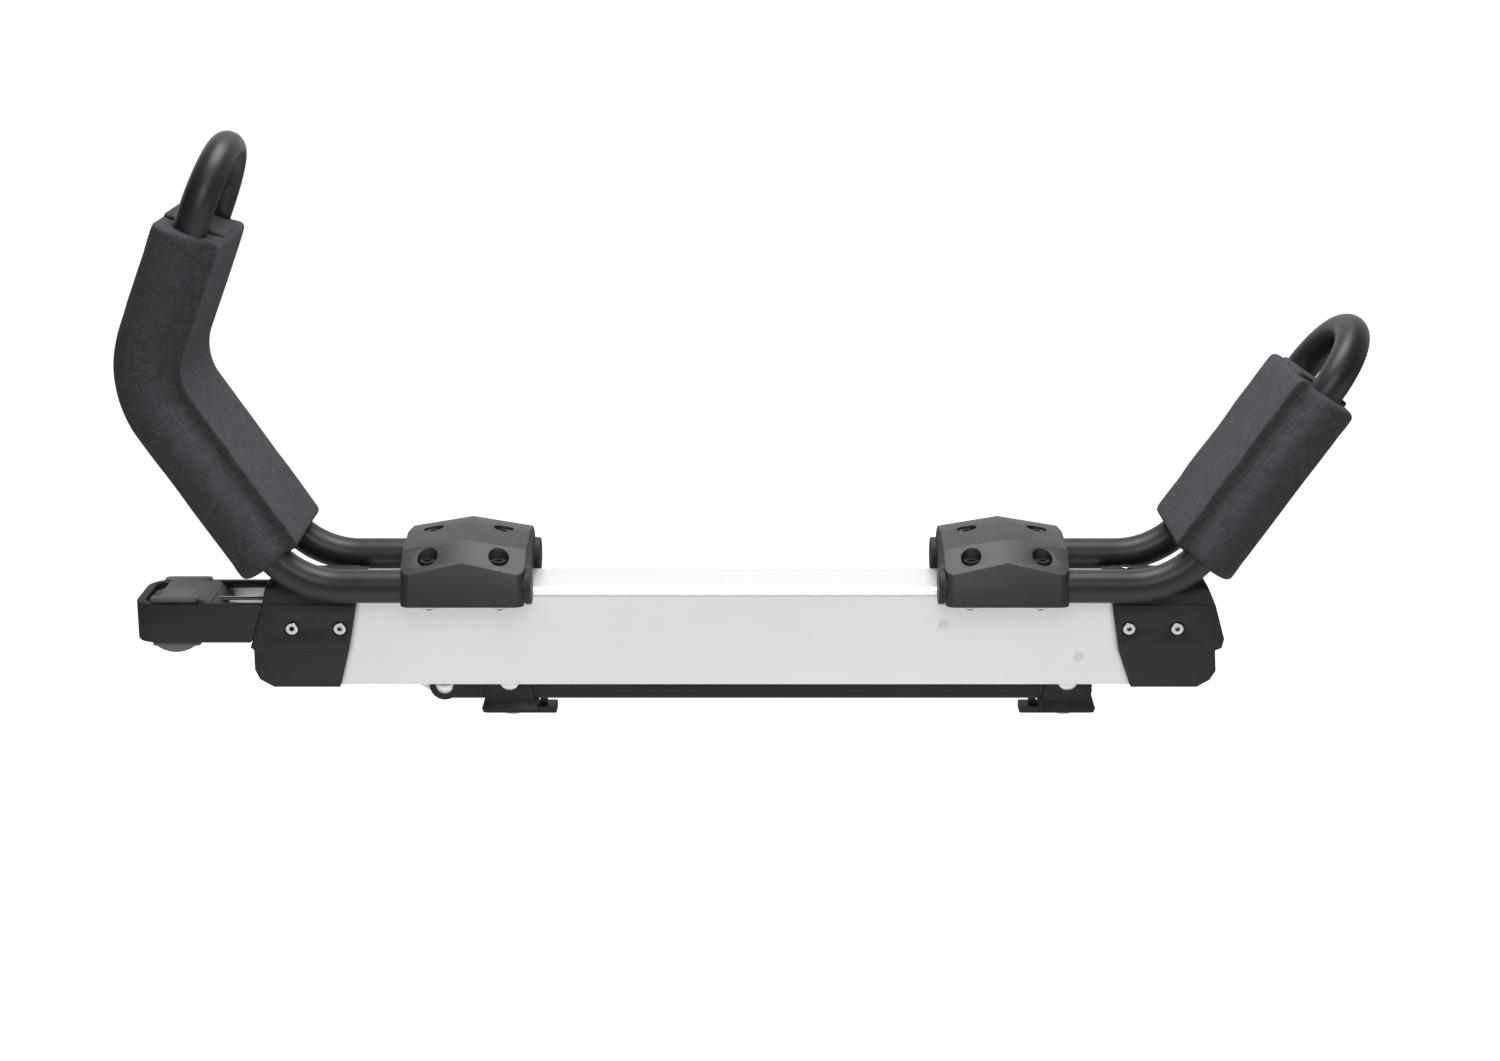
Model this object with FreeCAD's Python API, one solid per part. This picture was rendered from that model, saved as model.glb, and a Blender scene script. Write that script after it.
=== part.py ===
import FreeCAD, Part
import math
import os
from FreeCAD import Vector

# Slide-out kayak saddle carrier. Millimetres, +Z up, X along the vehicle's crossbar
# (outboard is -X), Y fore and aft. The origin is on the top face of the crossbar,
# midway between the two feet.

# Sole and feet
foot_spacing = 473.2
sole_thickness = 2.5
sole_half_depth = 38.0
sole_inner_half = 12.0
foot_half_low = 23.4
foot_half_high = 14.0
foot_floor_top = 8.2
foot_height = 36.0
foot_cheek = 2.0
foot_flare_height = 8.5
foot_pin_z = 25.5
foot_head_height = 1.9

# Base rail, an inverted steel channel
rail_half_width = 26.8
rail_wall = 2.5
rail_bottom = 8.5
rail_top = 38.0
rail_overhang = 21.4
lobe_radius = 12.6
pivot_overhang = 55.4
pivot_z = 20.4
pivot_head_radius = 7.5
pivot_head_height = 3.2
rail_web_gap = 26.0

# Crossbar slot sliders
slot_lip = 4.3
slider_thickness = 5.5
slider_half_width = 10.0
slider_length = 61.4
slider_neck = 6.0
slider_neck_half = 4.0
slider_bolt = 8.0
slider_head_height = 2.5
slider_nut_height = 6.5

# Beam, an inverted U extrusion
beam_half_width = 34.0
beam_wall = 2.7
beam_web = 3.0
beam_bottom = 24.0
beam_top = 108.3
beam_shoulder = 7.4
beam_outboard_end = -398.0
beam_inboard_end = 340.0
track_rib_depth = 6.4
track_rib_thickness = 2.4
beam_inner_corner = 1.5

# Carriage that swivels on the base and carries the beam on rollers
plate_thickness = 2.8
plate_lobe_radius = 11.0
plate_margin = 8.0
roller_radius = 12.0
roller_width = 6.0
roller_spacing = 48.0
roller_lead = 58.0
roller_axle = 8.0
stub_flange_radius = 6.5
stub_flange = 1.6
spacer_radius = 6.0
spacer_bore = 6.0
spacer_lead = 34.0
spacer_rise = 38.0

# Saddle tubes
tube_diameter = 28.0
tube_wall = 2.0
tube_spacing = 100.0
tube_height = 114.8
lower_bend_radius = 77.0
upper_bend_radius = 70.0
outboard_bend_past = 14.0
outboard_angle = 56.3
outboard_kink_height = 289.4
outboard_upper_angle = 69.2
outboard_upper_reach = 145.0
inboard_bend_inset = 15.7
inboard_angle = 55.6
inboard_reach = 199.0
plug_lip = 5.0
plug_diameter = 30.0
plug_round = 1.2
plug_stem = 18.0

# Padded sleeves
pad_half_width = 74.5
pad_outer = 29.5
pad_inner = 25.5
pad_inner_flat = 46.5
pad_chamfer_depth = 15.0
pad_outer_radius = 20.0
pad_end_gap = 28.0
outboard_pad_top = 131.0
inboard_pad_top = 196.0

# Saddle clamps
outboard_clamp_inset = 127.5
inboard_clamp_inset = 160.0
clamp_half_length = 51.3
clamp_drop = 12.0
clamp_half_width = 72.0
clamp_crown = 42.4
clamp_slope_x = 0.17
clamp_slope_y = 0.13
clamp_break_y = 39.0
clamp_slope_outer = 0.63
clamp_draft = 0.30
clamp_corner = 8.0
bolt_inset = 21.8
bolt_diameter = 8.0
bolt_head_diameter = 13.0
bolt_head_height = 5.0
bolt_socket = 6.0
bolt_socket_floor = 2.0
recess_diameter = 17.0
recess_depth = 8.0
nut_flats = 13.0
nut_height = 3.0
washer_diameter = 15.0
washer_thickness = 1.0
bolt_tail = 2.0

# End caps. Lengths run past the beam's end, and back from it where they are negative.
cap_half_upper = 37.2
cap_half_lower = 36.0
cap_top = 110.8
cap_bottom = 22.3
cap_brow = 94.0
cap_step = 54.5
cap_shoulder_radius = 9.6
cap_tube_scoop = 24.0
cap_skin = 2.0
cap_flange_round = 9.0
outboard_cap_nose = 54.9
outboard_cap_back = 38.0
outboard_scoop_end = 38.0
outboard_core_end = 42.0
inboard_cap_nose = 26.0
inboard_cap_back = 71.2
inboard_scoop_end = 11.0
inboard_core_end = 12.0

# Side profiles of the caps: how far each corner lies behind the nose, and its height
outboard_cap_front = ((14.4, cap_top), (11.1, cap_brow), (0.0, cap_step + 3.0), (3.4, cap_step))
outboard_cap_chin = ((2.5, cap_step), (2.5, 37.5), (6.4, 29.0), (18.1, cap_bottom))
inboard_cap_front = ((15.5, cap_top), (8.3, cap_brow), (0.0, 65.0), (1.8, 57.0), (8.0, cap_step))
inboard_cap_chin = ((7.0, cap_step), (5.7, 36.5), (10.5, 28.5), (21.1, cap_bottom))

# How far the caps' back edges lean towards the nose, at the step and at the bottom
outboard_cap_lean = 10.6
outboard_cap_low_lean = 19.0
inboard_cap_lean = 9.0
inboard_cap_low_lean = 20.2

# What the caps let through, and their rivets
rail_passage_height = 50.0
rail_passage_half = 31.6
rivet_height = 74.0
rivet_head = 10.6
rivet_flange = 1.6
rivet_roll = 1.4
rivet_recess = 14.0
rivet_recess_depth = 1.0
rivet_hole = 4.2
rivet_body = 6.4
strap_rivet_past = 19.5
outboard_rivet_inset = 20.7
inboard_rivet_insets = (54.2, 13.7)
top_rivet_inset = 50.0
top_rivet_y = 21.0

# Handle
handle_reach = 152.0
handle_half_width = 39.0
handle_bottom = 62.0
handle_top = 95.6
handle_thickness = 7.6
handle_corner = 20.0
strip_thickness = 3.0
strip_height = 22.0
strip_inset = 4.0
strap_backing = 3.0

# Trigger and latch
trigger_travel = 8.0
trigger_plate = 3.4
trigger_gap = 14.0
trigger_wing_length = 40.0
trigger_wing_round = 4.0
trigger_wing_root = 6.0
trigger_wing_belly = 5.5
trigger_plate_step = 6.0
trigger_web_step = 20.0
trigger_nose_start = 31.0
trigger_nose_depth = 27.0
trigger_ridge = 0.8
rod_diameter = 5.0
rod_seat = 8.0
rod_hole_play = 0.5
latch_x = 129.6
latch_z = 77.0
latch_arm = 12.0
latch_hub = 9.0
latch_head = 5.5
latch_thickness = 6.0
latch_drive = 5.0
eye_depth = 7.5
eye_back = 18.0
eye_web = 5.0
eye_front = 6.0
eye_wall = 1.6
latch_tip_gap = 0.5
support_inset = 13.8
support_z = 48.5
support_inner = 13.0
support_width = 10.0
collar_radius = 6.5
axle_diameter = 8.0
axle_head_radius = 8.3
axle_head_height = 3.4
keeper_height = 5.5
keeper_length = 10.0
keeper_half_width = 9.0

# Clearances
slip = 0.2
running = 0.3
pin_play = 0.05

# Derived places
foot_centres = (-foot_spacing / 2, foot_spacing / 2)
pivot_x = foot_centres[0] - pivot_overhang
rail_inboard_end = foot_centres[1] + rail_overhang
roller_outer_x = pivot_x - roller_lead
support_x = rail_inboard_end - support_inset
support_outer = support_inner + support_width
outboard_bend_x = beam_outboard_end - outboard_bend_past
inboard_bend_x = beam_inboard_end - inboard_bend_inset
clamp_outboard_x = beam_outboard_end + outboard_clamp_inset
clamp_inboard_x = beam_inboard_end - inboard_clamp_inset
bolt_pitch = 2 * (clamp_half_length - bolt_inset)
outboard_rivets = (beam_outboard_end - strap_rivet_past, beam_outboard_end + outboard_rivet_inset)
inboard_rivets = tuple(beam_inboard_end - inset for inset in inboard_rivet_insets)
top_rivet_x = beam_inboard_end - top_rivet_inset
handle_end_x = beam_outboard_end - handle_reach
handle_legs_x = handle_end_x + 2 * handle_corner
trigger_flange_x = handle_end_x + trigger_gap
trigger_plate_x = trigger_flange_x + trigger_plate_step
trigger_web_x = trigger_flange_x + trigger_web_step
trigger_nose_centre = trigger_flange_x + trigger_nose_start
tube_radius = tube_diameter / 2
leg_y = tube_spacing / 2
beam_inner = beam_half_width - beam_wall
web_under = beam_top - beam_web
cheek_inner = rail_half_width - rail_wall
foot_inner = rail_half_width + slip
foot_outer = foot_inner + foot_cheek
plate_outer = cheek_inner - running
plate_inner = plate_outer - plate_thickness
roller_z = web_under - running - roller_radius
rib_top = roller_z - roller_radius - running
roller_xs = (roller_outer_x, roller_outer_x + roller_spacing)
rod_z = latch_z + latch_arm
strip_outer = handle_half_width - strip_inset
strip_inner = strip_outer - strip_thickness
strip_mid_z = (handle_bottom + handle_top) / 2
clamp_bottom = tube_height - clamp_drop
clamp_top = tube_height + clamp_crown
slider_top = -slot_lip
slider_bottom = slider_top - slider_thickness


def box(x0, x1, y0, y1, z0, z1):
    corner = Vector(min(x0, x1), min(y0, y1), min(z0, z1))
    return Part.makeBox(abs(x1 - x0), abs(y1 - y0), abs(z1 - z0), corner)


def cylinder(axis, a, b, radius, start, end):
    """Cylinder along x, y or z. a and b are the other two coordinates, in order."""
    low, length = min(start, end), abs(end - start)
    if axis == "x":
        return Part.makeCylinder(radius, length, Vector(low, a, b), Vector(1, 0, 0))
    if axis == "y":
        return Part.makeCylinder(radius, length, Vector(a, low, b), Vector(0, 1, 0))
    return Part.makeCylinder(radius, length, Vector(a, b, low), Vector(0, 0, 1))


def side_prism(points, y0, y1):
    """Closed outline given as (x, z), drawn out from y0 to y1."""
    wire = Part.makePolygon([Vector(x, y0, z) for x, z in points + points[:1]])
    return Part.Face(wire).extrude(Vector(0, y1 - y0, 0))


def end_prism(points, x0, x1):
    """Closed outline given as (y, z), drawn out from x0 to x1."""
    wire = Part.makePolygon([Vector(x0, y, z) for y, z in points + points[:1]])
    return Part.Face(wire).extrude(Vector(x1 - x0, 0, 0))


def mirrored(shape):
    return shape.mirror(Vector(0, 0, 0), Vector(0, 1, 0))


def both_sides(shape):
    return [shape, mirrored(shape)]


def fuse(shapes):
    solid = shapes[0]
    for other in shapes[1:]:
        solid = solid.fuse(other)
    return solid.removeSplitter()


def edges_along(shape, axis, test):
    """Straight edges that run along one axis and whose middle passes the test."""
    chosen = []
    for edge in shape.Edges:
        if len(edge.Vertexes) != 2:
            continue
        run = edge.Vertexes[1].Point.sub(edge.Vertexes[0].Point)
        others = [abs(value) for i, value in enumerate(run) if i != "xyz".index(axis)]
        if max(others) < 1e-4 and test(edge.CenterOfMass):
            chosen.append(edge)
    return chosen


def hexagon(x, y, z0, height, flats):
    corner = flats / math.sqrt(3)
    points = [Vector(x + corner * math.cos(math.radians(60 * i)),
                     y + corner * math.sin(math.radians(60 * i)), z0) for i in range(7)]
    return Part.Face(Part.makePolygon(points)).extrude(Vector(0, 0, height))


def domed_head(x, z, y_face, side, radius, height):
    """Domed rivet head that stands out from a face at y_face, towards side (-1 or 1)."""
    ball = (radius ** 2 + height ** 2) / (2 * height)
    centre = Vector(x, y_face + side * (height - ball), z)
    keep = cylinder("y", x, z, radius, y_face, y_face + side * height)
    return Part.makeSphere(ball, centre).common(keep)


def foot(x):
    """Cast saddle round the rail, with a sole that flares over the crossbar."""
    outline = [(x - foot_half_low, sole_thickness), (x + foot_half_low, sole_thickness),
               (x + foot_half_high, foot_height), (x - foot_half_high, foot_height)]
    flare = [(-sole_half_depth, sole_thickness), (sole_half_depth, sole_thickness),
             (foot_outer, foot_flare_height), (foot_outer, foot_height),
             (-foot_outer, foot_height), (-foot_outer, foot_flare_height)]
    reach = foot_half_low + 1
    body = side_prism(outline, -sole_half_depth, sole_half_depth)
    body = body.common(end_prism(flare, x - reach, x + reach))
    body = body.cut(box(x - reach, x + reach, -foot_inner, foot_inner,
                        foot_floor_top, foot_height + 1))
    body = body.cut(cylinder("z", x, 0, slider_bolt / 2 + slip, 0, foot_floor_top + 1))
    return body.cut(cylinder("y", x, foot_pin_z, axle_diameter / 2 + pin_play, -40, 40))


def sole_pads(x):
    """Two rubber pads under one foot, fore and aft of the crossbar's slot."""
    pad = box(x - foot_half_low + 1, x + foot_half_low - 1,
              sole_inner_half, sole_half_depth, 0, sole_thickness)
    pad = pad.makeFillet(3, edges_along(pad, "z", lambda p: True))
    return both_sides(pad)


def base_rail():
    """Inverted channel whose cheeks end outboard in two pivot lobes."""
    outer = box(pivot_x, rail_inboard_end, -rail_half_width, rail_half_width,
                rail_bottom, rail_top)
    outer = outer.makeFillet(6, edges_along(outer, "y", lambda p: p.x > 0))
    outer = outer.makeFillet(3, edges_along(outer, "x", lambda p: p.z > rail_top - 1))
    lobe = cylinder("y", pivot_x, pivot_z, lobe_radius, -rail_half_width, rail_half_width)
    rail = outer.fuse(lobe)
    beyond = pivot_x - 2 * lobe_radius
    rail = rail.cut(box(beyond, rail_inboard_end + 1, -cheek_inner, cheek_inner,
                        rail_bottom - 20, rail_top - rail_wall))
    rail = rail.cut(box(beyond, pivot_x + rail_web_gap, -cheek_inner, cheek_inner,
                        0, rail_top + 1))
    slope = [(beyond, pivot_z + lobe_radius), (pivot_x, pivot_z + lobe_radius),
             (pivot_x + rail_web_gap, rail_top + 1), (beyond, rail_top + 1)]
    rail = rail.cut(side_prism(slope, -40, 40))
    bore = cylinder("y", pivot_x, pivot_z, roller_axle / 2 + pin_play, -40, 40)
    rail = rail.cut(bore)
    for x in foot_centres:
        rail = rail.cut(cylinder("y", x, foot_pin_z, axle_diameter / 2 + pin_play, -40, 40))
    return rail.removeSplitter()


def slider(x):
    """Plate that slides in the crossbar's slot, with a neck beside the foot."""
    inward = -1 if x > 0 else 1
    edge = foot_half_low * inward
    plate = box(x - edge, x - edge + inward * slider_length, -slider_half_width,
                slider_half_width, slider_bottom, slider_top)
    plate = plate.makeFillet(2, edges_along(plate, "z", lambda p: True))
    near = x + edge + inward * running
    neck = box(near, near + inward * slider_neck, -slider_neck_half, slider_neck_half,
               slider_top - 1, rail_bottom - slip)
    body = plate.fuse(neck)
    return body.cut(cylinder("z", x, 0, slider_bolt / 2 + slip, slider_bottom - 1, 0))


def slider_bolt_solid(x):
    head = cylinder("z", x, 0, slider_bolt * 0.8, slider_bottom - slider_head_height,
                    slider_bottom)
    shank = cylinder("z", x, 0, slider_bolt / 2, slider_bottom,
                     foot_floor_top + slider_nut_height + 2)
    return head.fuse(shank)


def slider_nut(x):
    nut = hexagon(x, 0, foot_floor_top, slider_nut_height, nut_flats)
    return nut.cut(cylinder("z", x, 0, slider_bolt / 2 + pin_play, 0, rail_top))


def foot_pin(x):
    """Cross pin through foot and rail, a domed head at each end."""
    shank = cylinder("y", x, foot_pin_z, axle_diameter / 2, -foot_outer, foot_outer)
    heads = [domed_head(x, foot_pin_z, side * foot_outer, side, axle_head_radius,
                        foot_head_height) for side in (-1, 1)]
    return fuse([shank] + heads)


def pivot_pin():
    shank = cylinder("y", pivot_x, pivot_z, roller_axle / 2,
                     -rail_half_width, rail_half_width)
    heads = [domed_head(pivot_x, pivot_z, side * rail_half_width, side, pivot_head_radius,
                        pivot_head_height) for side in (-1, 1)]
    return fuse([shank] + heads)


def keeper():
    """Low block on the rail that the latch hooks behind."""
    x1 = latch_x - latch_hub
    x0 = x1 - keeper_length
    profile = [(x0, rail_top), (x1, rail_top), (x1, rail_top + keeper_height),
               (x1 - 3, rail_top + keeper_height)]
    return side_prism(profile, -keeper_half_width, keeper_half_width)


def beam():
    """Inverted U extrusion with a roller track along each inner wall."""
    outer = box(beam_outboard_end, beam_inboard_end, -beam_half_width, beam_half_width,
                beam_bottom, beam_top)
    outer = outer.makeFillet(beam_shoulder, edges_along(outer, "x", lambda p: p.z > web_under))
    inner = box(beam_outboard_end - 1, beam_inboard_end + 1, -beam_inner, beam_inner,
                beam_bottom - 1, web_under)
    inner = inner.makeFillet(beam_inner_corner,
                             edges_along(inner, "x", lambda p: p.z > beam_bottom))
    shell = outer.cut(inner)
    rib = box(beam_outboard_end, beam_inboard_end, beam_inner - track_rib_depth,
              beam_inner + 1, rib_top - track_rib_thickness, rib_top)
    solid = fuse([shell] + both_sides(rib))
    for x, z in ((latch_x, latch_z), (support_x, support_z)):
        solid = solid.cut(cylinder("y", x, z, axle_diameter / 2 + pin_play, -40, 40))
    for x in (outboard_rivets[1],) + inboard_rivets:
        solid = solid.cut(cylinder("y", x, rivet_height, rivet_body / 2 + pin_play, -40, 40))
    for x in bolt_xs():
        solid = solid.cut(cylinder("z", x, 0, bolt_diameter / 2 + slip, web_under - 1, beam_top + 1))
    for side in (-1, 1):
        solid = solid.cut(cylinder("z", top_rivet_x, side * top_rivet_y,
                                   rivet_body / 2 + pin_play, web_under - 1, beam_top + 1))
    return solid


def bolt_xs():
    return [centre + side * bolt_pitch / 2
            for centre in (clamp_outboard_x, clamp_inboard_x) for side in (-1, 1)]


def beam_envelope(x0, x1, gap):
    """The beam's outer form, filled and grown by a gap, for what fits over it."""
    half = beam_half_width + gap
    solid = box(x0, x1, -half, half, 0, beam_top + gap)
    return solid.makeFillet(beam_shoulder, edges_along(solid, "x", lambda p: p.z > beam_bottom))


def past(end, outward, profile):
    """Profile given as (distance past a beam end, z), turned into (x, z)."""
    return [(end + outward * distance, z) for distance, z in profile]


def cap_blank(upper, lower):
    """Stepped hood: a wide upper part over a narrower lower one."""
    top = side_prism(upper, -cap_half_upper, cap_half_upper)
    low = side_prism(lower, -cap_half_lower, cap_half_lower)
    solid = top.fuse(low)
    span = solid.BoundBox
    arch = box(span.XMin - 5, span.XMax + 5, -cap_half_upper - 1, cap_half_upper + 1, 0, cap_top)
    arch = arch.makeFillet(cap_shoulder_radius,
                           edges_along(arch, "x", lambda p: p.z > cap_step))
    return solid.common(arch)


def tube_hollow(side, x0, x1):
    """Room beside a tube, short of the skin that a cap keeps over the beam."""
    scoop = cylinder("x", side * leg_y, tube_height, cap_tube_scoop, x0, x1)
    return scoop.cut(beam_envelope(x0, x1, slip + cap_skin))


def flange_corners(back_x, outward):
    """What comes off the two corners of a cap's top flange to make them round."""
    reach = cap_half_upper - cap_skin
    inner = back_x + outward * cap_flange_round
    waste = []
    for side in (-1, 1):
        y = side * (leg_y - cap_tube_scoop)
        corner = box(back_x, inner, y - side * cap_flange_round, side * reach,
                     beam_top + slip, cap_top + 1)
        keep = cylinder("z", inner, y - side * cap_flange_round, cap_flange_round,
                        beam_top, cap_top + 1)
        waste.append(corner.cut(keep))
    return waste


def rivet_seats(solid, centres):
    for x in centres:
        for side in (-1, 1):
            face = side * cap_half_upper
            floor = face - side * rivet_recess_depth
            solid = solid.cut(cylinder("y", x, rivet_height, rivet_recess / 2, floor, 2 * face))
            solid = solid.cut(cylinder("y", x, rivet_height, rivet_body / 2 + pin_play, 0, face))
    return solid


def behind(nose, corners):
    return [(nose - back, height) for back, height in corners]


def outboard_front(gap):
    """Side view of the outboard cap's upper front, moved out from it by a gap."""
    return past(beam_outboard_end, -1, behind(outboard_cap_nose + gap, outboard_cap_front))


def outboard_cap():
    far = -outboard_cap_back
    upper = (past(beam_outboard_end, -1, [(far, cap_top)]) + outboard_front(0)
             + past(beam_outboard_end, -1, [(far + outboard_cap_lean, cap_step)]))
    lower = past(beam_outboard_end, -1, [(far + outboard_cap_lean, cap_step),
                                         *behind(outboard_cap_nose, outboard_cap_chin),
                                         (far + outboard_cap_low_lean, cap_bottom)])
    solid = cap_blank(upper, lower)
    back_x = beam_outboard_end + outboard_cap_back
    solid = solid.cut(beam_envelope(beam_outboard_end - running, back_x + 5, slip))
    for side in (-1, 1):
        solid = solid.cut(tube_hollow(side, beam_outboard_end - outboard_scoop_end, back_x + 5))
    for corner in flange_corners(back_x, -1):
        solid = solid.cut(corner)
    backing = strip_inner - strap_backing
    solid = solid.cut(box(beam_outboard_end - outboard_core_end, beam_outboard_end,
                          -backing, backing, 0, web_under))
    for side in (-1, 1):
        solid = solid.cut(box(handle_end_x, beam_outboard_end, side * (strip_inner - slip),
                              side * (strip_outer + slip), strip_mid_z - strip_height / 2 - slip,
                              strip_mid_z + strip_height / 2 + slip))
    solid = solid.cut(cylinder("x", 0, rod_z, rod_diameter / 2 + rod_hole_play,
                               handle_end_x, beam_outboard_end))
    return rivet_seats(solid, outboard_rivets)


def inboard_cap():
    far = -inboard_cap_back
    upper = past(beam_inboard_end, 1, [(far, cap_top),
                                       *behind(inboard_cap_nose, inboard_cap_front),
                                       (far + inboard_cap_lean, cap_step)])
    lower = past(beam_inboard_end, 1, [(far + inboard_cap_lean, cap_step),
                                       *behind(inboard_cap_nose, inboard_cap_chin),
                                       (far + inboard_cap_low_lean, cap_bottom)])
    solid = cap_blank(upper, lower)
    back_x = beam_inboard_end - inboard_cap_back
    solid = solid.cut(beam_envelope(back_x - 5, beam_inboard_end + running, slip))
    for side in (-1, 1):
        solid = solid.cut(tube_hollow(side, back_x - 5, beam_inboard_end + inboard_scoop_end))
    for corner in flange_corners(back_x, 1):
        solid = solid.cut(corner)
    solid = solid.cut(box(beam_inboard_end, beam_inboard_end + inboard_core_end,
                          -beam_inner, beam_inner, 0, web_under))
    solid = solid.cut(box(back_x - 5, beam_inboard_end + inboard_cap_nose + 5,
                          -rail_passage_half, rail_passage_half, 0, rail_passage_height))
    for side in (-1, 1):
        solid = solid.cut(cylinder("z", top_rivet_x, side * top_rivet_y,
                                   rivet_body / 2 + pin_play, beam_top, cap_top + 1))
    return rivet_seats(solid, inboard_rivets)


def hollow_rivet(grip):
    """Rivet along z: its flange stands on 0, its rolled end under a wall, grip below."""
    head = cylinder("z", 0, 0, rivet_head / 2, 0, rivet_flange)
    head = head.makeFillet(0.9, [e for e in head.Edges if e.CenterOfMass.z > rivet_flange - 0.1])
    body = cylinder("z", 0, 0, rivet_body / 2, -grip, 0)
    roll = cylinder("z", 0, 0, rivet_body / 2 + 1, -grip - rivet_roll, -grip)
    hole = cylinder("z", 0, 0, rivet_hole / 2, -grip - rivet_roll - 1, rivet_flange + 1)
    return fuse([head, body, roll]).cut(hole)


def cap_rivet(x, side, inner_face):
    """Hollow rivet through a cap's cheek and the wall inside it."""
    face = cap_half_upper - rivet_recess_depth
    rivet = hollow_rivet(face - inner_face)
    rivet.rotate(Vector(0, 0, 0), Vector(1, 0, 0), -90 * side)
    rivet.translate(Vector(x, side * face, rivet_height))
    return rivet


def top_rivet(side):
    """Hollow rivet down through the inboard cap's top and the beam's web."""
    rivet = hollow_rivet(cap_top - web_under)
    rivet.translate(Vector(top_rivet_x, side * top_rivet_y, cap_top))
    return rivet


def leg_route(inner_x, bend_x, lean, heights, reach):
    """Straight runs of one leg in the XZ plane, as corner points and bend radii."""
    side = -1 if bend_x < inner_x else 1
    points = [(inner_x, tube_height), (bend_x, tube_height)]
    radii = [lower_bend_radius]
    last = points[-1]
    for angle, top in heights:
        run = (top - last[1]) / math.tan(math.radians(angle))
        last = (last[0] + side * run, top)
        points.append(last)
        radii.append(upper_bend_radius)
    angle = math.radians(lean)
    side = side if not heights else -side
    end = (last[0] + side * reach * math.cos(angle), last[1] + reach * math.sin(angle))
    points.append(end)
    return points, radii


def leg_edges(points, radii, y):
    """Lines joined by tangent arcs through the corner points, at one y."""
    corners = [Vector(x, y, z) for x, z in points]
    edges = []
    start = corners[0]
    for i, radius in enumerate(radii):
        corner = corners[i + 1]
        before = corner.sub(corners[i]).normalize()
        after = corners[i + 2].sub(corner).normalize()
        turn = before.getAngle(after)
        setback = radius * math.tan(turn / 2)
        a = corner.sub(before * setback)
        b = corner.add(after * setback)
        inward = after.sub(before).normalize()
        middle = corner.add(inward * (radius / math.cos(turn / 2) - radius))
        edges.append(Part.LineSegment(start, a).toShape())
        edges.append(Part.Arc(a, middle, b).toShape())
        start = b
    edges.append(Part.LineSegment(start, corners[-1]).toShape())
    return edges


def arm_wire(points, radii):
    """Front leg, half-round loop and rear leg as one path."""
    front = leg_edges(points, radii, -leg_y)
    last, before = points[-1], points[-2]
    length = math.hypot(last[0] - before[0], last[1] - before[1])
    direction = ((last[0] - before[0]) / length, (last[1] - before[1]) / length)
    apex = Vector(last[0] + direction[0] * leg_y, 0, last[1] + direction[1] * leg_y)
    loop = Part.Arc(Vector(last[0], -leg_y, last[1]), apex,
                    Vector(last[0], leg_y, last[1])).toShape()
    rear = [edge.mirror(Vector(0, 0, 0), Vector(0, 1, 0)) for edge in reversed(front)]
    return Part.Wire(Part.__sortEdges__(front + [loop] + rear))


def pipe(wire, start, direction, radius):
    circle = Part.Wire(Part.makeCircle(radius, start, direction))
    return wire.makePipeShell([circle], True, False)


def saddle_tube(points, radii, bolt_places):
    wire = arm_wire(points, radii)
    start = Vector(points[0][0], -leg_y, points[0][1])
    direction = Vector(1 if points[1][0] > points[0][0] else -1, 0, 0)
    tube = pipe(wire, start, direction, tube_radius)
    tube = tube.cut(pipe(wire, start, direction, tube_radius - tube_wall))
    for x in bolt_places:
        for side in (-1, 1):
            tube = tube.cut(cylinder("z", x, side * leg_y, bolt_diameter / 2 + slip,
                                     tube_height - tube_diameter, tube_height + tube_diameter))
    return tube


def tube_plug(x, outward, y):
    """Moulded plug, its lip against the tube's end and its stem inside the bore."""
    lip = cylinder("x", y, tube_height, plug_diameter / 2, x, x + outward * plug_lip)
    lip = lip.makeFillet(plug_round, [e for e in lip.Edges
                               if abs(e.CenterOfMass.x - x - outward * plug_lip) < 0.1])
    stem = cylinder("x", y, tube_height, tube_radius - tube_wall - slip,
                    x, x - outward * plug_stem)
    return lip.fuse(stem)


def pad_section(place, outward):
    """Section across a sleeve at one place, its two outer corners round."""
    def at(across, out):
        return place.add(outward * out).add(Vector(0, across, 0))

    half, bevel = pad_half_width, -pad_inner + pad_chamfer_depth
    shoulder = pad_outer_radius
    near = shoulder * (1 - math.cos(math.pi / 4))
    edges = [Part.LineSegment(at(-pad_inner_flat, -pad_inner), at(pad_inner_flat, -pad_inner))]
    for side in (1, -1):
        edges.append(Part.LineSegment(at(side * pad_inner_flat, -pad_inner), at(side * half, bevel)))
        edges.append(Part.LineSegment(at(side * half, bevel), at(side * half, pad_outer - shoulder)))
        edges.append(Part.Arc(at(side * half, pad_outer - shoulder),
                              at(side * (half - near), pad_outer - near),
                              at(side * (half - shoulder), pad_outer)))
    edges.append(Part.LineSegment(at(half - shoulder, pad_outer), at(shoulder - half, pad_outer)))
    return Part.Face(Part.Wire(Part.__sortEdges__([edge.toShape() for edge in edges])))


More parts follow.
